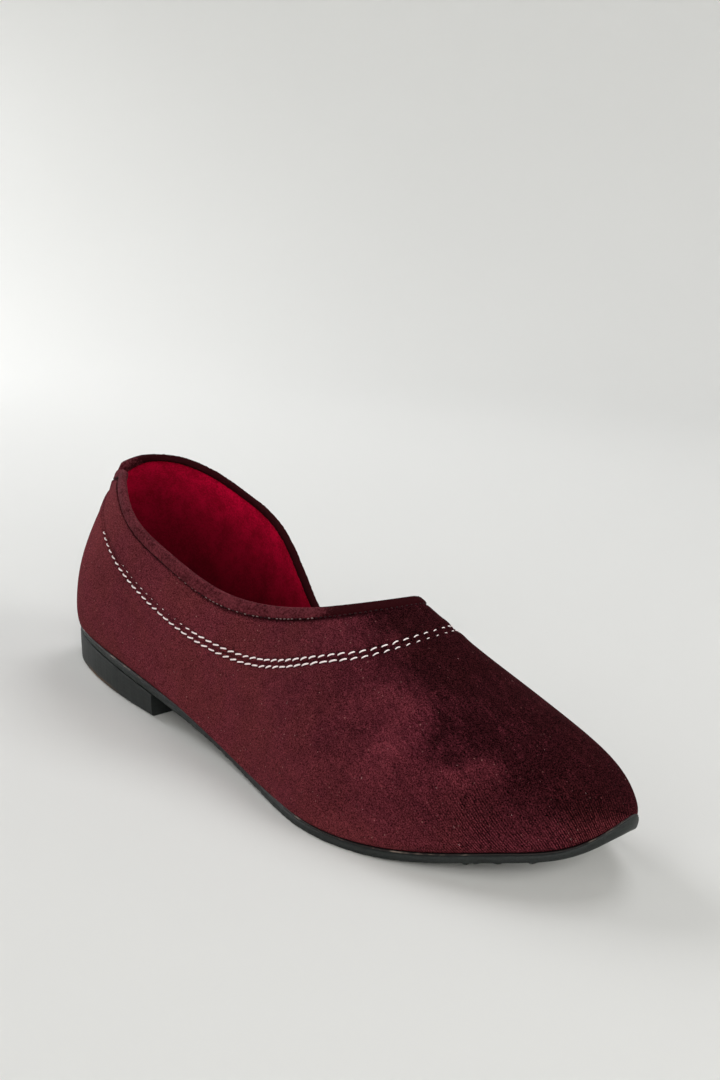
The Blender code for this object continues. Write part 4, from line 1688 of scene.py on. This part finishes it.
def add_camera(studio):
    """Looks at a point on the floor from the set azimuth and elevation, rolled a little."""
    level = Vector((math.cos(studio.azimuth), math.sin(studio.azimuth), 0.0))
    back = Vector((level.y, -level.x, 0.0)) * math.cos(studio.elevation)
    back.z = math.sin(studio.elevation)
    up = back.cross(level)
    right = level * math.cos(studio.roll) + up * math.sin(studio.roll)
    over = up * math.cos(studio.roll) - level * math.sin(studio.roll)
    target = Vector((studio.target_x, studio.target_y, 0.0))
    camera = bpy.data.cameras.new("view_camera")
    camera.sensor_fit = "VERTICAL"
    camera.sensor_height = SENSOR
    camera.lens = studio.lens
    camera.shift_x = studio.shift_x
    camera.shift_y = studio.shift_y
    camera.clip_start = 0.01
    camera.clip_end = 20.0
    holder = bpy.data.objects.new("view_camera", camera)
    place = Matrix((right, over, back)).transposed().to_4x4()
    place.translation = target + back * studio.distance
    holder.matrix_world = place
    bpy.context.scene.collection.objects.link(holder)
    bpy.context.scene.camera = holder


# -------------------------------------------------------------------- properties
def shade_property(name, description, hex_colour):
    return bpy.props.FloatVectorProperty(
        name=name,
        description=description,
        default=colour(hex_colour),
        subtype="COLOR",
        size=4,
        min=0.0,
        max=1.0,
    )


def number_property(name, description, default, **kind):
    return bpy.props.FloatProperty(name=name, description=description, default=default, **kind)


class LoaferSizes(bpy.types.PropertyGroup):
    stitch_pitch: number_property(
        "Stitch pitch",
        "From one heavy stitch to the next",
        3.95 * MM,
        min=0.002,
        max=0.008,
        unit="LENGTH",
    )
    thread_width: number_property(
        "Thread width",
        "Thickness of the heavy thread",
        0.64 * MM,
        min=0.0003,
        max=0.0015,
        unit="LENGTH",
    )


class LoaferFinish(bpy.types.PropertyGroup):
    # The velvet's light and dark tones also stand for painted light and painted shade.
    velvet_light: shade_property("Velvet, lying over and in painted light", "Where the pile lies over, and painted light", "#682b34")
    velvet_middle: shade_property("Velvet, upright", "Where the pile stands up", "#4a1c24")
    velvet_dark: shade_property("Velvet, brushed back and in painted shade", "Where it is brushed back, and painted shade", "#280c10")
    velvet_sheen: number_property(
        "Velvet sheen", "How much the pile lightens at its edges", 0.05, min=0.0, max=1.0
    )
    tape_light: shade_property("Tape, rubbed", "The tape's lighter places", "#6f3038")
    tape_dark: shade_property("Tape, clean and in painted shade", "The tape's darker places", "#2c0a0e")
    lining_light: shade_property("Lining, raised", "The lining's lighter places", "#ee0644")
    lining_dark: shade_property("Lining, flat", "The lining's darker places", "#b0002c")
    lining_shadow: shade_property("Lining, painted shade", "Deep inside, as painted shade", "#38000b")
    thread: shade_property("Heavy thread", "The cream thread of the two rows", "#fff2f1")
    rubber_light: shade_property("Rubber, buffed", "The sole's lighter places", "#262a29")
    rubber_dark: shade_property("Rubber, clean", "The sole's darker places", "#151817")
    scuff: shade_property("Heel scuff", "Where the heel is rubbed brown", "#7a5a3c")


class StudioSettings(bpy.types.PropertyGroup):
    azimuth: number_property(
        "Azimuth", "Camera's turn round the shoe", math.radians(43.39), subtype="ANGLE"
    )
    elevation: number_property(
        "Elevation", "Camera's height angle", math.radians(16.75), subtype="ANGLE"
    )
    roll: number_property(
        "Roll", "Camera's tilt about its own axis", math.radians(4.18), subtype="ANGLE"
    )
    distance: number_property(
        "Distance", "From the camera to its target", 0.74665, unit="LENGTH"
    )
    target_x: number_property(
        "Target X", "Where the optical axis meets the floor", -0.13824, unit="LENGTH"
    )
    target_y: number_property(
        "Target Y", "Where the optical axis meets the floor", 0.16835, unit="LENGTH"
    )
    lens: number_property(
        "Lens", "Focal length on a sensor 36 mm high", 46.284, unit="CAMERA"
    )
    shift_x: number_property("Shift X", "Framing shift", 0.01025)
    shift_y: number_property("Shift Y", "Framing shift", 0.04447)


# --------------------------------------------------------------------- operators
def done(piece):
    """Raises where a piece came out empty, and otherwise reports success."""
    if piece is None or not piece.data.polygons:
        raise RuntimeError("a piece came out empty")
    return {"FINISHED"}


class LOAFER_OT_upper(bpy.types.Operator):
    """Build the velvet upper"""

    bl_idname = "loafer.upper"
    bl_label = "Velvet Upper"

    def execute(self, context):
        finish = velvet_material("cut_pile_velvet", context.scene.loafer_finish)
        return done(build_velvet_upper(finish))


class LOAFER_OT_lining(bpy.types.Operator):
    """Build the lining and the footbed's sock"""

    bl_idname = "loafer.lining"
    bl_label = "Lining and Sock"

    def execute(self, context):
        finish = lining_material(context.scene.loafer_finish)
        build_lining(finish)
        return done(build_sock(finish))


class LOAFER_OT_tape(bpy.types.Operator):
    """Build the folded tape round the collar, with its stitches"""

    bl_idname = "loafer.tape"
    bl_label = "Collar Tape"

    def execute(self, context):
        build_collar_tape(tape_material(context.scene.loafer_finish))
        fine = thread_material("fine_polyester_thread", colour("#a08884"), colour("#1c080c"), 0.3)
        return done(build_tape_stitches(fine))


class LOAFER_OT_stitches(bpy.types.Operator):
    """Sew the two cream rows beside the seam"""

    bl_idname = "loafer.stitches"
    bl_label = "Vamp Stitches"

    def execute(self, context):
        light = context.scene.loafer_finish.thread
        cream = thread_material("heavy_polyester_thread", light, colour("#6a4a44"))
        return done(build_vamp_stitches(cream, context.scene.loafer_sizes))


class LOAFER_OT_sole(bpy.types.Operator):
    """Build the outsole, the heel and the bead of cement"""

    bl_idname = "loafer.sole"
    bl_label = "Sole and Heel"

    def execute(self, context):
        finish = context.scene.loafer_finish
        build_outsole(rubber_material("moulded_rubber_sole", finish))
        build_heel(rubber_material("moulded_rubber_heel", finish, scuffed=0.8))
        return done(build_cement(cement_material()))


class LOAFER_OT_lint(bpy.types.Operator):
    """Scatter lint on the pile"""

    bl_idname = "loafer.lint"
    bl_label = "Lint"

    def execute(self, context):
        pale = thread_material("cotton_lint", colour("#c9a9a6"), colour("#7c4248"))
        return done(build_lint(pale))


class LOAFER_OT_studio(bpy.types.Operator):
    """Set the floor, the lights and the camera"""

    bl_idname = "loafer.studio"
    bl_label = "Studio"

    def execute(self, context):
        build_floor()
        for lamp in LAMPS:
            add_area_light(*lamp)
        add_camera(context.scene.loafer_studio)
        world = bpy.data.worlds.new("studio_air")
        context.scene.world = world
        world.use_nodes = True
        air = world.node_tree.nodes["Background"]
        air.inputs["Color"].default_value = colour("#f2f3f6")
        air.inputs["Strength"].default_value = 0.06
        context.scene.view_settings.view_transform = "Standard"
        return {"FINISHED"}


class LOAFER_PT_panel(bpy.types.Panel):
    """Lists the loafer's steps"""

    bl_idname = "LOAFER_PT_panel"
    bl_label = "Velvet Loafer"
    bl_space_type = "VIEW_3D"
    bl_region_type = "UI"
    bl_category = "Loafer"

    def draw(self, context):
        layout = self.layout
        for step in STEPS:
            layout.operator(step.bl_idname)
        for group in ("loafer_sizes", "loafer_finish", "loafer_studio"):
            box = layout.box()
            settings = getattr(context.scene, group)
            for key in settings.bl_rna.properties.keys():
                if key not in ("rna_type", "name"):
                    box.prop(settings, key)


STEPS = (
    LOAFER_OT_upper,
    LOAFER_OT_lining,
    LOAFER_OT_tape,
    LOAFER_OT_stitches,
    LOAFER_OT_sole,
    LOAFER_OT_lint,
    LOAFER_OT_studio,
)
GROUPS = {
    "loafer_sizes": LoaferSizes,
    "loafer_finish": LoaferFinish,
    "loafer_studio": StudioSettings,
}


def register():
    for made in (*GROUPS.values(), *STEPS, LOAFER_PT_panel):
        bpy.utils.register_class(made)
    for name, group in GROUPS.items():
        setattr(bpy.types.Scene, name, bpy.props.PointerProperty(type=group))


def unregister():
    for name in GROUPS:
        delattr(bpy.types.Scene, name)
    for made in (LOAFER_PT_panel, *reversed(STEPS), *reversed(list(GROUPS.values()))):
        bpy.utils.unregister_class(made)


def main():
    register()
    for step in STEPS:
        area, name = step.bl_idname.split(".")
        getattr(getattr(bpy.ops, area), name)()


if __name__ == "__main__":
    main()
